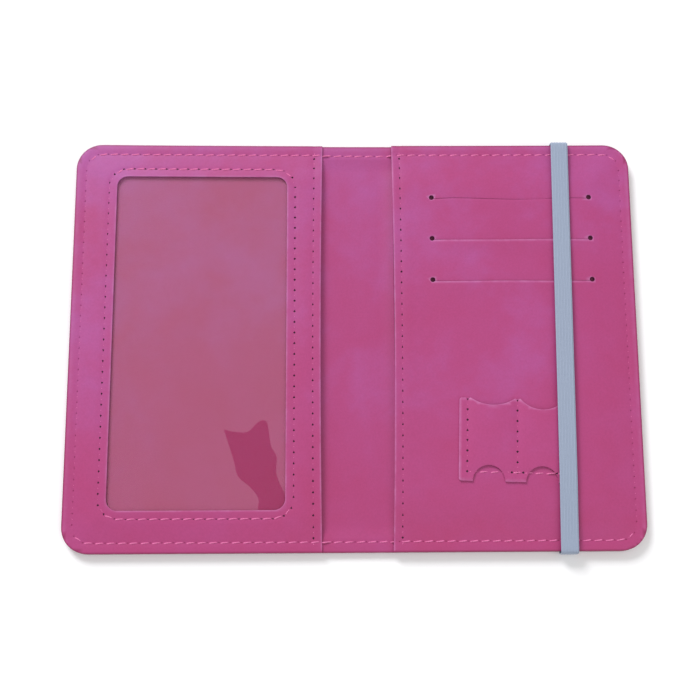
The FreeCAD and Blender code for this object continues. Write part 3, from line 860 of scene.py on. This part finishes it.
def lining_half(side):
    """One half of the lining, with needle holes only where no panel covers it."""
    keys = [side * (BOARD_ENDS[side] - d * MM) for d in (0, 0.25, 0.5, 0.75, 1)]
    bm = cover_plate(side, 0.0)
    score_cover(bm, side, 0.0, COARSE_NET, edge_marks()[:8], [*fold_keys(side), *keys])
    thicken(bm, LINING_THICKNESS)
    uncovered = abs(MOUTHS[side]) - 1 * MM
    places = [p for p in even_places(border_route(side), sizes().pitch) if abs(p.x) < uncovered]
    pierce(bm, places, LINING_THICKNESS, -SHALLOW_HOLE, sizes().border_needle, 0)
    round_rims(bm, 0.8 * sizes().rim)
    # Rims paler with wear and painted highlight; the cut edge darkened with edge paint and painted shade.
    mark_wear_and_painted_light(bm, worn_and_lit_rim)
    lay(bm, lining_floor, LINING_THICKNESS, border_groove)
    piece = new_piece(bm, "lining_" + HALVES[side], "lining_leather", leather("lining leather", 0.98),
                      hole_shade_material())
    follow_fold(piece)
    return piece


def panel_sheet(bm, side, xs, ys, seam_places=()):
    """Scores a pocket panel, thickens it and pierces its border, its mouth seam and the other places."""
    hem, pitch = sizes().mouth_hem, sizes().pitch
    across = (0.7 * MM, hem - 0.7 * MM, hem, hem + 0.7 * MM, hem + 1.6 * MM)
    xs = [*(MOUTHS[side] + side * d for d in across), *xs]
    score_cover(bm, side, MOUTHS[side], sizes().net, edge_marks(), xs, ys)
    thicken(bm, PANEL_THICKNESS)
    covered = abs(MOUTHS[side]) + 1 * MM
    border = [p for p in even_places(border_route(side), pitch) if abs(p.x) > covered]
    pierce(bm, border, PANEL_THICKNESS, -SHALLOW_HOLE, sizes().border_needle, 0)
    pierce(bm, [*even_places(mouth_route(side), pitch)[1:-1], *seam_places], PANEL_THICKNESS, -DEEP_HOLE,
           sizes().needle)


def panel_piece(bm, side):
    bow(bm)
    piece = new_piece(bm, HALVES[side] + "_pocket_leather", "pocket_leather", leather("pocket leather"),
                      hole_shade_material())
    fit(piece, COVERS[side], HALVES[side] + "_pocket_panel")


def front_panel():
    window = Window()
    seam = sizes().window_seam
    around = (-0.7 * MM, 0.0, 0.7 * MM, 1.4 * MM)
    bm = cover_plate(-1, FRONT_MOUTH)
    cut_window(bm, window)
    xs = [*(window.left - seam - d for d in around), *(window.right + seam + d for d in around),
          window.left - 0.6 * MM, window.left, window.right, window.right + 0.6 * MM]
    ys = [*(window.bottom - seam - d for d in around), *(window.top + seam + d for d in around),
          window.bottom - 0.6 * MM, window.bottom, window.top, window.top + 0.6 * MM]
    panel_sheet(bm, -1, xs, ys, even_places(window_route(), sizes().pitch))
    round_rims(bm, sizes().rim)
    # Wear and painted highlight along the outer rim, the window's cut edge and the pocket mouth.
    mark_wear_and_painted_light(bm, lambda x, y: min(worn_and_lit_rim(x, y), abs(window.depth(x, y)), FRONT_MOUTH - x))
    lay(bm, panel_floor, PANEL_THICKNESS, front_dip)
    panel_piece(bm, -1)


def punch(bm, *cutters):
    """Takes the cutters out of a closed sheet, one after another."""
    work = as_object("sheet being punched", as_mesh(bm, "sheet being punched"))
    tools = [as_object("cutter", as_mesh(cutter, "cutter")) for cutter in cutters]
    for tool in tools:
        cut = work.modifiers.new("cut", "BOOLEAN")
        cut.operation, cut.solver, cut.object = "DIFFERENCE", "EXACT", tool
    bpy.context.view_layer.update()
    punched = bpy.data.meshes.new_from_object(work.evaluated_get(bpy.context.evaluated_depsgraph_get()))
    for item in [work, *tools]:
        bpy.data.objects.remove(item)
    result = bmesh.new()
    result.from_mesh(punched)
    bpy.data.meshes.remove(punched)
    bmesh.ops.remove_doubles(result, verts=result.verts[:], dist=2e-6)
    return result


def rod(bm, x, y, radius, segments=20):
    bmesh.ops.create_cone(bm, cap_ends=True, segments=segments, radius1=radius, radius2=radius,
                          depth=CUTTER_DEPTH, matrix=Matrix.Translation((x, y, 0)))


class Slits:
    """The card slits: three rows, each a little below the line between its two punched holes."""

    first_y, pitch, count = 52.3 * MM, 15.1 * MM, 3
    left, right, drop, gap = 27.5 * MM, 83.2 * MM, 0.45 * MM, 0.16 * MM

    @classmethod
    def hole_rows(cls):
        return [cls.first_y - i * cls.pitch for i in range(cls.count)]

    @classmethod
    def distance(cls, x, y):
        """How far a point is from the nearest cut edge, a lower lip or a hole."""
        apart = 1.0
        for row in cls.hole_rows():
            if cls.left < x < cls.right and y < row - cls.drop and row < cls.first_y:
                apart = min(apart, row - cls.drop - cls.gap / 2 - y)
            for end in (cls.left, cls.right):
                apart = min(apart, abs(math.hypot(x - end, y - row) - sizes().hole / 2))
        return apart


def slit_shift(x, y):
    """The lips of the slits: the lower lip stands up a little, and both wander from a straight line."""
    along = (x - Slits.left) / (Slits.right - Slits.left)
    if not 0 < along < 1:
        return 0.0, 0.0
    ends = min(1.0, 8 * along, 8 * (1 - along))
    aside, up = 0.0, 0.0
    for i, row in enumerate(Slits.hole_rows()):
        off = y - (row - Slits.drop)
        near = bump(off, 2.2 * MM)
        wander = (0.3, 0.1, 0.1)[i] * math.sin(2 * math.pi * (1.1 * along + 0.12 + 0.31 * i))
        aside += wander * MM * near * ends
        share = (0.2, 1.0, 0.75)[i] * sizes().lip
        up += (0.7 * share * bump(off, 3.8 * MM) if off < 0 else -0.3 * share * bump(off, 1.8 * MM)) * ends
    return aside, up


def back_panel():
    bm = cover_plate(1, BACK_MOUTH)
    ys = [row - Slits.drop + d * MM for row in Slits.hole_rows() for d in (-3.2, -1.8, -1.0, 1.0, 1.8, 3.2)]
    panel_sheet(bm, 1, (), ys)
    knives, punches = bmesh.new(), bmesh.new()
    for row in Slits.hole_rows():
        middle = ((Slits.left + Slits.right) / 2, row - Slits.drop, 0)
        length = Slits.right - Slits.left
        bmesh.ops.create_cube(knives, size=1, matrix=Matrix.Translation(middle)
                              @ Matrix.Diagonal((length, Slits.gap, CUTTER_DEPTH, 1)))
        for x in (Slits.left, Slits.right):
            rod(punches, x, row, sizes().hole / 2)
    bm = punch(bm, knives, punches)
    round_rims(bm, 0.1 * MM)
    # Wear and painted highlight along the outer rim, the pocket mouth, the lower lips of the slits and the
    # rims of their holes.
    mark_wear_and_painted_light(bm, lambda x, y: min(worn_and_lit_rim(x, y), x - BACK_MOUTH, 2 * Slits.distance(x, y)))
    lay(bm, panel_floor, PANEL_THICKNESS, back_dip)
    for vertex in bm.verts:
        aside, up = slit_shift(vertex.co.x, vertex.co.y)
        vertex.co.z += up
        vertex.co.y += aside
    panel_piece(bm, 1)


def seam_strip(name, side, thickness, lift):
    """A thin glue strip between two sheets, along the three sewn sides of a cover."""
    inner, inset, width = MOUTHS[side] + side * MM, 0.25 * MM, sizes().seam_inset - 0.4 * MM
    bm = cover_plate(side, inner, inset)
    hole_x, reach = side * (HALF_WIDTH - width), HALF_HEIGHT - width
    score(bm, [hole_x], [-reach, reach])
    centres = [(f, f.calc_center_median()) for f in bm.faces]
    inside = [f for f, centre in centres if abs(centre.y) < reach and abs(centre.x) < abs(hole_x)]
    bmesh.ops.delete(bm, geom=inside, context="FACES")
    score_cover(bm, side, inner, 4 * MM, inset=inset)
    thicken(bm, thickness)
    lay(bm, lambda x, y: lining_top(x, y) + lift, thickness)
    return new_piece(bm, name, "glue_tape", plain("glue tape", colours().cloth, 0.6))


def seam_strips():
    """The card liner is caught between the two strips of the back cover."""
    tape = sizes().tape
    fit(seam_strip("front_seam_strip", -1, 0.02 * MM, 0.01 * MM), "front_cover", "front_seam_tape")
    fit(seam_strip("passport_seam_strip", 1, tape, 0.005 * MM), "back_cover", "passport_seam_tape")
    fit(seam_strip("card_seam_strip", 1, tape, tape + 0.03 * MM), "back_cover", "card_seam_tape")


def card_liner():
    """Thin cloth behind the cards.  It hangs between lining and panel, and dips a little at its mouth."""
    inset = 0.4 * MM
    left, thickness = BACK_MOUTH + 0.6 * MM, 0.012 * MM
    bm = cover_plate(1, left, inset)
    score_cover(bm, 1, left, 4 * MM, edge_marks(), inset=inset)
    thicken(bm, thickness)

    def floor(x, y):
        low, high = lining_top(x, y) + sizes().tape + 0.01 * MM, panel_floor(x, y)
        return low + 0.4 * max(high - low - 0.1 * MM, 0) * ease((from_edge(x, y) - 4 * MM) / (6 * MM))

    lay(bm, floor, thickness)
    piece = new_piece(bm, "card_liner_cloth", "cloth", cloth_material())
    fit(piece, "back_cover", "card_liner")


def cling_outline(corner_x, corner_y):
    """Where the film clings to the lining: a patch with two ears on top, whose foot fills the window's
    inner lower corner.  Its places are in millimetres from that corner."""
    ear = [(-20, 24.5), (-20.8, 27.4), (-18, 26.8)]
    second_ear = [(-13, 26.7), (-9.5, 30), (-7, 30.6), (-6, 28.5)]
    right_side = [(-5, 22), (-3, 18), (-3, 12), (0, 5), (0.2, 2)]
    foot = [(-1, 0.5), (-5, 0), (-9, 0)]
    left_side = [(-9, 4), (-12, 8), (-16, 11.5), (-17.5, 17)]
    return [Vector((corner_x + x * MM, corner_y + y * MM, 0))
            for x, y in (*ear, *second_ear, *right_side, *foot, *left_side)]


def window_film():
    """The film hangs a little behind the window, and lies on the lining where it clings."""
    window = Window()
    margin = sizes().window_seam + 0.9 * MM
    left, right = window.left - margin, window.right + margin
    bottom, top = window.bottom - margin, window.top + margin
    bm = plate(left, right, bottom, top)
    rim = bm.edges[:]
    bmesh.ops.delete(bm, geom=bm.faces[:], context="FACES_ONLY")
    ring = smooth_ring(cling_outline(window.right, window.bottom))
    verts = [bm.verts.new(p) for p in ring]
    edges = [bm.edges.new((a, b)) for a, b in zip(verts, verts[1:] + verts[:1])]
    bmesh.ops.triangle_fill(bm, edges=rim + edges, use_beauty=True)
    bm.faces.new(verts)
    outline = [v.co.xy for v in verts]
    score(bm, marks(left, right, [window.left, window.right], 3 * MM),
          marks(bottom, top, [window.bottom, window.top], 3 * MM))
    for face in bm.faces:
        face.material_index = 1 if encloses(outline, face.calc_center_median().xy) else 0
    thickness = FILM_HIGH.z - FILM_LOW.z
    thicken(bm, thickness)
    tree = tree_of([(*point, 0) for point in outline])

    def floor(x, y):
        under_panel = panel_floor(x, y) - thickness
        inside = ease(window.depth(x, y) / (9 * MM))
        resting = lining_top(x, y) + 0.02 * MM
        slack = 0.45 + 0.25 * noise.noise(Vector((x / (21 * MM), y / (26 * MM), 4.2)))
        hung = under_panel + (resting - under_panel) * slack * inside
        away = tree.find((x, y, 0))[2]
        if encloses(outline, Vector((x, y))):
            return resting + (hung - resting) * (1 - ease(away / (1.2 * MM))) * 0.35
        return hung + (resting - hung) * 0.65 * bump(away, 2.5 * MM)

    lay(bm, floor, thickness)
    piece = new_piece(bm, "window_film_clear", "clear_film",
                      film_material("clear film", colours().haze, 0.1, 0.3),
                      film_material("clinging film", colours().wet, 0.14, 0.35))
    fit(piece, "front_cover", "window_film")


def smooth_ring(points, steps=4):
    """A closed curve through the points."""
    ring = []
    count = len(points)
    for i in range(count):
        before, start, end, after = (points[(i + d) % count] for d in (-1, 0, 1, 2))
        for step in range(steps):
            t = step / steps
            ring.append(0.5 * (2 * start + (end - before) * t + (2 * before - 5 * start + 4 * end - after)
                               * t ** 2 + (3 * start - before - 3 * end + after) * t ** 3))
    return ring


def encloses(outline, point):
    """Whether a closed outline goes round a point."""
    inside = False
    for a, b in zip(outline, outline[1:] + outline[:1]):
        if (a.y > point.y) != (b.y > point.y):
            if point.x < a.x + (b.x - a.x) * (point.y - a.y) / (b.y - a.y):
                inside = not inside
    return inside


# The small pocket


class Tray:
    """Places on the small pocket: its three upright seams, arches and scoops."""

    first_seam, bay, foot_seam = 38.6 * MM, 17 * MM, 3.2 * MM
    lean = math.radians(-1.8)
    arch_radius, arches = 5.5 * MM, (46.0 * MM, 64.0 * MM)
    scoop_half, scoop_depths = 7.5 * MM, (2.4 * MM, 3.6 * MM)

    @classmethod
    def seams(cls):
        return [cls.first_seam + cls.bay * i for i in range(3)]

    @classmethod
    def foot(cls):
        return PATCH_LOW.y + cls.foot_seam

    @classmethod
    def scoops(cls):
        """The centre and radius of the round cut in each bay's mouth."""
        cuts = []
        for seam, depth in zip(cls.seams(), cls.scoop_depths):
            radius = (cls.scoop_half ** 2 + depth ** 2) / (2 * depth)
            cuts.append((seam + cls.bay / 2, PATCH_HIGH.y + radius - depth, radius))
        return cuts


def patch_floor(x, y):
    """Underside of the patch: held down along its seams, and swelling between them towards its mouth."""
    swell = abs(math.sin(math.pi * (x - Tray.first_seam) / Tray.bay)) ** 0.8
    if not Tray.seams()[0] < x < Tray.seams()[2]:
        swell = 0.0
    up = ease((y - Tray.foot()) / (PATCH_HIGH.y - Tray.foot()) + 0.15)
    return back_surface(x, y) + 0.04 * MM + 0.75 * MM * swell * up


def patch_dip(x, y):
    column = max(bump(x - seam, 0.7 * MM) for seam in Tray.seams())
    return 0.12 * MM * max(column, bump(y - Tray.foot(), 0.7 * MM))


def scoop_distance(x, y):
    """How far a point is from the scooped mouth of the small pocket."""
    apart = PATCH_HIGH.y - y
    for centre_x, centre_y, radius in Tray.scoops():
        apart = min(apart, abs(math.hypot(x - centre_x, y - centre_y) - radius))
    return apart


def lean(bm):
    """The patch and its seams are sewn on with a slight lean."""
    bmesh.ops.rotate(bm, cent=(PATCH_LOW.x, PATCH_HIGH.y, 0), matrix=Matrix.Rotation(Tray.lean, 3, "Z"),
                     verts=bm.verts[:])


def small_patch():
    thickness = PATCH_HIGH.z - PATCH_LOW.z
    left, right, bottom, top = PATCH_LOW.x, PATCH_HIGH.x, PATCH_LOW.y, PATCH_HIGH.y
    bm = plate(left, right, bottom, top, 0.8 * MM)
    xs = [seam + d * MM for seam in Tray.seams() for d in (-0.7, 0, 0.7)]
    ys = [Tray.foot() + d * MM for d in (-0.7, 0, 0.7)]
    score(bm, marks(left, right, xs, 1.3 * MM), marks(bottom, top, ys, 1.3 * MM))
    thicken(bm, thickness)
    columns, foot = tray_places()
    on_patch = [p for p in foot if not in_arch(p)]
    pierce(bm, [p for column in columns for p in column] + on_patch, thickness, -SHALLOW_HOLE,
           sizes().needle)
    first, second = bmesh.new(), bmesh.new()
    for x in Tray.arches:
        rod(first, x, bottom, Tray.arch_radius, 48)
    for tool, scoop in zip((first, second), Tray.scoops()):
        rod(tool, *scoop, 96)
    bm = punch(bm, first, second)
    round_rims(bm, 0.12 * MM)
    # Wear and painted highlight along the patch's edges, strongest on its left edge, which faces the light,
    # and along its scooped mouth.
    mark_wear_and_painted_light(bm, lambda x, y: min(x - left, 2 * (right - x), 3 * (y - bottom), scoop_distance(x, y)),
              0.28 * MM)
    lay(bm, patch_floor, thickness, patch_dip)
    lean(bm)
    piece = new_piece(bm, "small_pocket_leather", "pocket_leather", leather("patch leather", 1.03, 0.7),
                      hole_shade_material())
    fit(piece, "back_cover", "small_pocket_patch", "small_pocket_tape")


def in_arch(place):
    reach = math.sqrt(Tray.arch_radius ** 2 - Tray.foot_seam ** 2)
    return any(abs(place.x - x) < reach for x in Tray.arches)


def tray_places():
    """Needle holes of the small pocket: three columns, and the row along its foot."""
    pitch, foot, mouth = sizes().pitch, Tray.foot(), PATCH_HIGH.y - 0.6 * MM
    columns = [even_places([Vector((x, mouth, 0)), Vector((x, foot, 0))], pitch) for x in Tray.seams()]
    ends = [Vector((x, foot, 0)) for x in (Tray.seams()[0], Tray.seams()[-1])]
    return columns, even_places(ends, pitch)


def tray_surface(x, y):
    if y < Tray.foot() + 1 * MM and in_arch(Vector((x, y))):
        return back_surface(x, y)
    return patch_floor(x, y) + PATCH_HIGH.z - PATCH_LOW.z - patch_dip(x, y)


# The elastic band


def band_path():
    """The middle line of the band, from its lower sewn end over the inside to its upper sewn end."""
    half, low, run = BAND_THICKNESS / 2, TAIL_LOW.z + BAND_THICKNESS / 2, BAND_LOW.z + 0.16 * MM
    on_patch = tray_surface(BAND_LOW.x, 0.5 * (PATCH_LOW.y + PATCH_HIGH.y)) + half + 0.12 * MM
    over_patch = max(on_patch, run + 0.8 * MM)

    def end(out):
        return [(TAIL_LOW.y, low), (out - 1.1 * MM, low), (out - 0.35 * MM, low + 0.25 * MM),
                (out, low + 0.8 * MM), (out, run - 0.8 * MM), (out - 0.25 * MM, run - 0.25 * MM),
                (out - 0.9 * MM, run), (out - 4 * MM, run + 0.04 * MM)]

    points = [(-y, z) for y, z in end(HALF_HEIGHT + 0.78 * MM)]
    points += [(-60 * MM, run + 0.3 * MM), (PATCH_LOW.y - 3 * MM, over_patch - 0.1 * MM),
               (PATCH_LOW.y + 2 * MM, over_patch), (PATCH_HIGH.y - 2 * MM, over_patch),
               (PATCH_HIGH.y + 8 * MM, over_patch - 0.08 * MM), (20 * MM, run + 0.45 * MM),
               (48 * MM, run + 0.2 * MM)]
    points += end(HALF_HEIGHT + 0.45 * MM)[::-1]
    x_top, x_bottom = BAND_LOW.x + 3.45 * MM, BAND_LOW.x + 1.6 * MM
    slope = (x_top - x_bottom) / (2 * HALF_HEIGHT)
    return [Vector((x_bottom + slope * (y + HALF_HEIGHT), y, z)) for y, z in points]


def soften(path, steps=5):
    """A smooth line through the points of an open path."""
    line = [path[0]]
    for i in range(len(path) - 1):
        before, start = path[max(i - 1, 0)], path[i]
        end, after = path[i + 1], path[min(i + 2, len(path) - 1)]
        for step in range(1, steps + 1):
            t = step / steps
            span = (end - start).length
            ease_in = (end - before).normalized() * span
            ease_out = (after - start).normalized() * span
            line.append((2 * t ** 3 - 3 * t ** 2 + 1) * start + (t ** 3 - 2 * t ** 2 + t) * ease_in
                        + (3 * t ** 2 - 2 * t ** 3) * end + (t ** 3 - t ** 2) * ease_out)
    return line


def band_section(width, thickness, ribs=6, steps=6):
    """The band's section as x and height pairs: ribs on both faces."""
    count = ribs * steps
    face = []
    for i in range(count + 1):
        across = i / count
        rib = abs(math.sin(math.pi * ribs * across)) ** 0.7
        side = ease(min(across, 1 - across) * 14)
        face.append(((across - 0.5) * width, thickness * (0.5 * side + 0.09 * (rib - 1))))
    return face + [(x, -height) for x, height in reversed(face)]


def elastic_band():
    path = soften(band_path())
    bm = bmesh.new()
    weave = bm.loops.layers.uv.new("weave")
    section = [bm.verts.new((x, 0, height))
               for x, height in band_section(BAND_HIGH.x - BAND_LOW.x, BAND_THICKNESS)]
    ring = [bm.edges.new((a, b)) for a, b in zip(section, section[1:] + section[:1])]
    stations = []
    for i, point in enumerate(path):
        along = (path[min(i + 1, len(path) - 1)] - path[max(i - 1, 0)]).normalized()
        up = Vector((1, 0, 0)).cross(along).normalized()
        turned = Matrix((along.cross(up), along, up)).transposed().to_4x4()
        stations.append(Matrix.Translation(point) @ turned)
    sweep(bm, ring, stations)
    lengths, tree = distances_along(path), tree_of(path)
    for face in bm.faces:
        for loop in face.loops:
            _, i, _ = tree.find(loop.vert.co)
            loop[weave].uv = (loop.vert.co.x - path[i].x, lengths[i])
    piece = new_piece(bm, "elastic_strap", "elastic", elastic_material(), sharp=math.radians(60))
    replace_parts(piece, "elastic_band", "elastic_leg_top", "elastic_leg_bottom", "elastic_tail_top",
                "elastic_tail_bottom")
    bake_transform(piece)


# Operators


class HOLDER_OT_outer_skin(bpy.types.Operator):
    """Make the outer skin: two halves that meet on the spine"""

    bl_idname = "holder.outer_skin"
    bl_label = "Outer skin"

    def execute(self, context):
        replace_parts(outer_skin_half(-1), "front_outer_skin", "spine_outer_skin")
        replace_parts(outer_skin_half(1), "back_outer_skin")
        return {"FINISHED"}


class HOLDER_OT_lining(bpy.types.Operator):
    """Make the lining: low beside the spine, and stepped up over the boards"""

    bl_idname = "holder.lining"
    bl_label = "Lining"

    def execute(self, context):
        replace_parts(lining_half(-1), "front_lining", "spine_lining")
        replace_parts(lining_half(1), "back_lining")
        return {"FINISHED"}


class HOLDER_OT_boards(bpy.types.Operator):
    """Give the two stiffener boards their finish"""

    bl_idname = "holder.boards"
    bl_label = "Boards"

    def execute(self, context):
        material = plain("stiffener board", colours().board, 0.85, 0.2, 500.0)
        for name in ("front_board", "back_board"):
            node = frame["nodes"][name]
            node.data.materials.clear()
            node.data.materials.append(material)
        return {"FINISHED"}


class HOLDER_OT_front_pocket(bpy.types.Operator):
    """Make the front pocket panel with its window, and the clear film behind it"""

    bl_idname = "holder.front_pocket"
    bl_label = "Front pocket and film"

    def execute(self, context):
        front_panel()
        window_film()
        return {"FINISHED"}


class HOLDER_OT_back_pocket(bpy.types.Operator):
    """Make the card panel with its slits, and the cloth liner behind it"""

    bl_idname = "holder.back_pocket"
    bl_label = "Card pocket and liner"

    def execute(self, context):
        back_panel()
        card_liner()
        return {"FINISHED"}


class HOLDER_OT_small_pocket(bpy.types.Operator):
    """Make the patch pocket with its two bays"""

    bl_idname = "holder.small_pocket"
    bl_label = "Small pocket"

    def execute(self, context):
        small_patch()
        return {"FINISHED"}


class HOLDER_OT_seam_tapes(bpy.types.Operator):
    """Make the glued strips in the sewn borders"""

    bl_idname = "holder.seam_tapes"
    bl_label = "Seam strips"

    def execute(self, context):
        seam_strips()
        return {"FINISHED"}


class HOLDER_OT_band(bpy.types.Operator):
    """Make the ribbed elastic band with its sewn-in ends"""

    bl_idname = "holder.band"
    bl_label = "Elastic band"

    def execute(self, context):
        elastic_band()
        return {"FINISHED"}


class HOLDER_OT_threads(bpy.types.Operator):
    """Sew every seam, stitch by stitch, inside and outside"""

    bl_idname = "holder.threads"
    bl_label = "Threads"

    def execute(self, context):
        shape = stitch_shape()
        pitch = sizes().pitch
        for side in (-1, 1):
            self.border(shape, side, pitch)
            self.mouth(shape, side, pitch)
        self.window(shape, pitch)
        self.small_pocket(shape)
        bpy.data.meshes.remove(shape)
        return {"FINISHED"}

    def border(self, shape, side, pitch):
        """The border seam of one half, on the panel and on the low lining, and its outside."""
        panel, half = PANEL_SURFACES[side], HALVES[side]

        def surface(x, y):
            return panel(x, y) if abs(x) > abs(MOUTHS[side]) else lining_top(x, y) - border_groove(x, y)

        places = even_places(border_route(side), pitch)
        inside, outside = bmesh.new(), bmesh.new()
        sew(inside, shape, places, surface)
        sew(outside, shape, places, lambda x, y: outer_skin_floor(x, y) - 0.02 * MM, flip=-1)
        piece = new_piece(inside, half + "_border_thread", "thread", thread_material())
        nodes = ("front_border_seam", "spine_seam") if side < 0 else ("back_border_seam",)
        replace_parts(piece, *nodes)
        follow_fold(piece)
        follow_fold(new_piece(outside, half + "_outside_thread", "thread", thread_material()))

    def mouth(self, shape, side, pitch):
        bm = bmesh.new()
        sew(bm, shape, even_places(mouth_route(side), pitch), PANEL_SURFACES[side])
        bow(bm)
        piece = new_piece(bm, HALVES[side] + "_mouth_thread", "thread", thread_material())
        fit(piece, COVERS[side], HALVES[side] + "_mouth_seam")

    def window(self, shape, pitch):
        bm = bmesh.new()
        sew(bm, shape, even_places(window_route(), pitch), front_surface)
        piece = new_piece(bm, "window_thread", "thread", thread_material())
        fit(piece, "front_cover", "window_seam")

    def small_pocket(self, shape):
        bm = bmesh.new()
        columns, foot = tray_places()
        for places in (*columns, foot):
            sew(bm, shape, places, tray_surface)
        lean(bm)
        piece = new_piece(bm, "small_pocket_thread", "thread", thread_material())
        fit(piece, "back_cover", "small_pocket_seam")


class HOLDER_OT_stage(bpy.types.Operator):
    """Set the pale floor, the soft lights and the camera"""

    bl_idname = "holder.stage"
    bl_label = "Stage"

    def execute(self, context):
        self.floor()
        self.light("soft light beyond the top edge", (-0.84, 1.4, 1.2), 0.84, 34.5, (0.97, 0.97, 1.0))
        self.light("wide light from above", (0.3, -0.4, 0.88), 1.2, 3.8, (1.0, 1.0, 1.0))
        world = bpy.data.worlds.new("pale room")
        world.use_nodes = True
        sky = world.node_tree.nodes["Background"]
        sky.inputs["Color"].default_value, sky.inputs["Strength"].default_value = (1, 1, 1, 1), 0.5
        context.scene.world = world
        context.scene.view_settings.view_transform = "Standard"
        self.camera(context)
        return {"FINISHED"}

    def floor(self):
        bm = bmesh.new()
        bmesh.ops.create_grid(bm, x_segments=1, y_segments=1, size=3.0)
        floor = as_object("floor", as_mesh(bm, "floor"))
        n = Nodes("pale floor")
        floor.data.materials.append(n.finish(Base_Color=rgba(colours().floor), Roughness=0.9))
        floor.location.z = -0.05 * MM

    def light(self, name, place, side, power, tone):
        lamp = bpy.data.lights.new(name, "AREA")
        lamp.shape, lamp.size, lamp.energy, lamp.color = "SQUARE", side, power, tone
        obj = as_object(name, lamp)
        obj.location = place
        obj.rotation_euler = (-Vector(place)).to_track_quat("-Z", "Y").to_euler()

    def camera(self, context):
        view = context.scene.holder_view
        target = Vector((view.aside, view.along, 0))
        lean = math.sin(view.tilt)
        back = Vector((lean * math.sin(view.turn), -lean * math.cos(view.turn), math.cos(view.tilt)))
        across = Vector((0, 1, 0)).cross(back).normalized()
        up = back.cross(across)
        right = across * math.cos(view.roll) + up * math.sin(view.roll)
        data = bpy.data.cameras.new("camera")
        data.sensor_width, data.lens, data.clip_start = 36, view.lens, 0.01
        camera = as_object("camera", data)
        camera.matrix_world = (Matrix.Translation(target + back * view.distance)
                               @ Matrix((right, back.cross(right), back)).transposed().to_4x4())
        context.scene.camera = camera


OPERATORS = (HOLDER_OT_outer_skin, HOLDER_OT_lining, HOLDER_OT_boards, HOLDER_OT_front_pocket,
             HOLDER_OT_back_pocket, HOLDER_OT_small_pocket, HOLDER_OT_seam_tapes, HOLDER_OT_band,
             HOLDER_OT_threads, HOLDER_OT_stage)


class HOLDER_PT_pieces(bpy.types.Panel):
    """Sizes, colours and steps of the passport holder"""

    bl_idname = "HOLDER_PT_pieces"
    bl_label = "Passport holder"
    bl_space_type = "VIEW_3D"
    bl_region_type = "UI"
    bl_category = "Holder"

    def draw(self, context):
        for group in (context.scene.holder_sizes, context.scene.holder_colours,
                      context.scene.holder_view):
            column = self.layout.column(align=True)
            for name in group.__annotations__:
                column.prop(group, name)
        for operator in OPERATORS:
            self.layout.operator(operator.bl_idname)


CLASSES = (HolderSizes, HolderColours, HolderView, *OPERATORS, HOLDER_PT_pieces)


def register():
    for cls in CLASSES:
        bpy.utils.register_class(cls)
    bpy.types.Scene.holder_sizes = PointerProperty(type=HolderSizes)
    bpy.types.Scene.holder_colours = PointerProperty(type=HolderColours)
    bpy.types.Scene.holder_view = PointerProperty(type=HolderView)


def unregister():
    for name in ("holder_sizes", "holder_colours", "holder_view"):
        delattr(bpy.types.Scene, name)
    for cls in reversed(CLASSES):
        bpy.utils.unregister_class(cls)


def main():
    register()
    for operator in OPERATORS:
        module, name = operator.bl_idname.split(".")
        getattr(getattr(bpy.ops, module), name)()


if __name__ == "__main__":
    main()
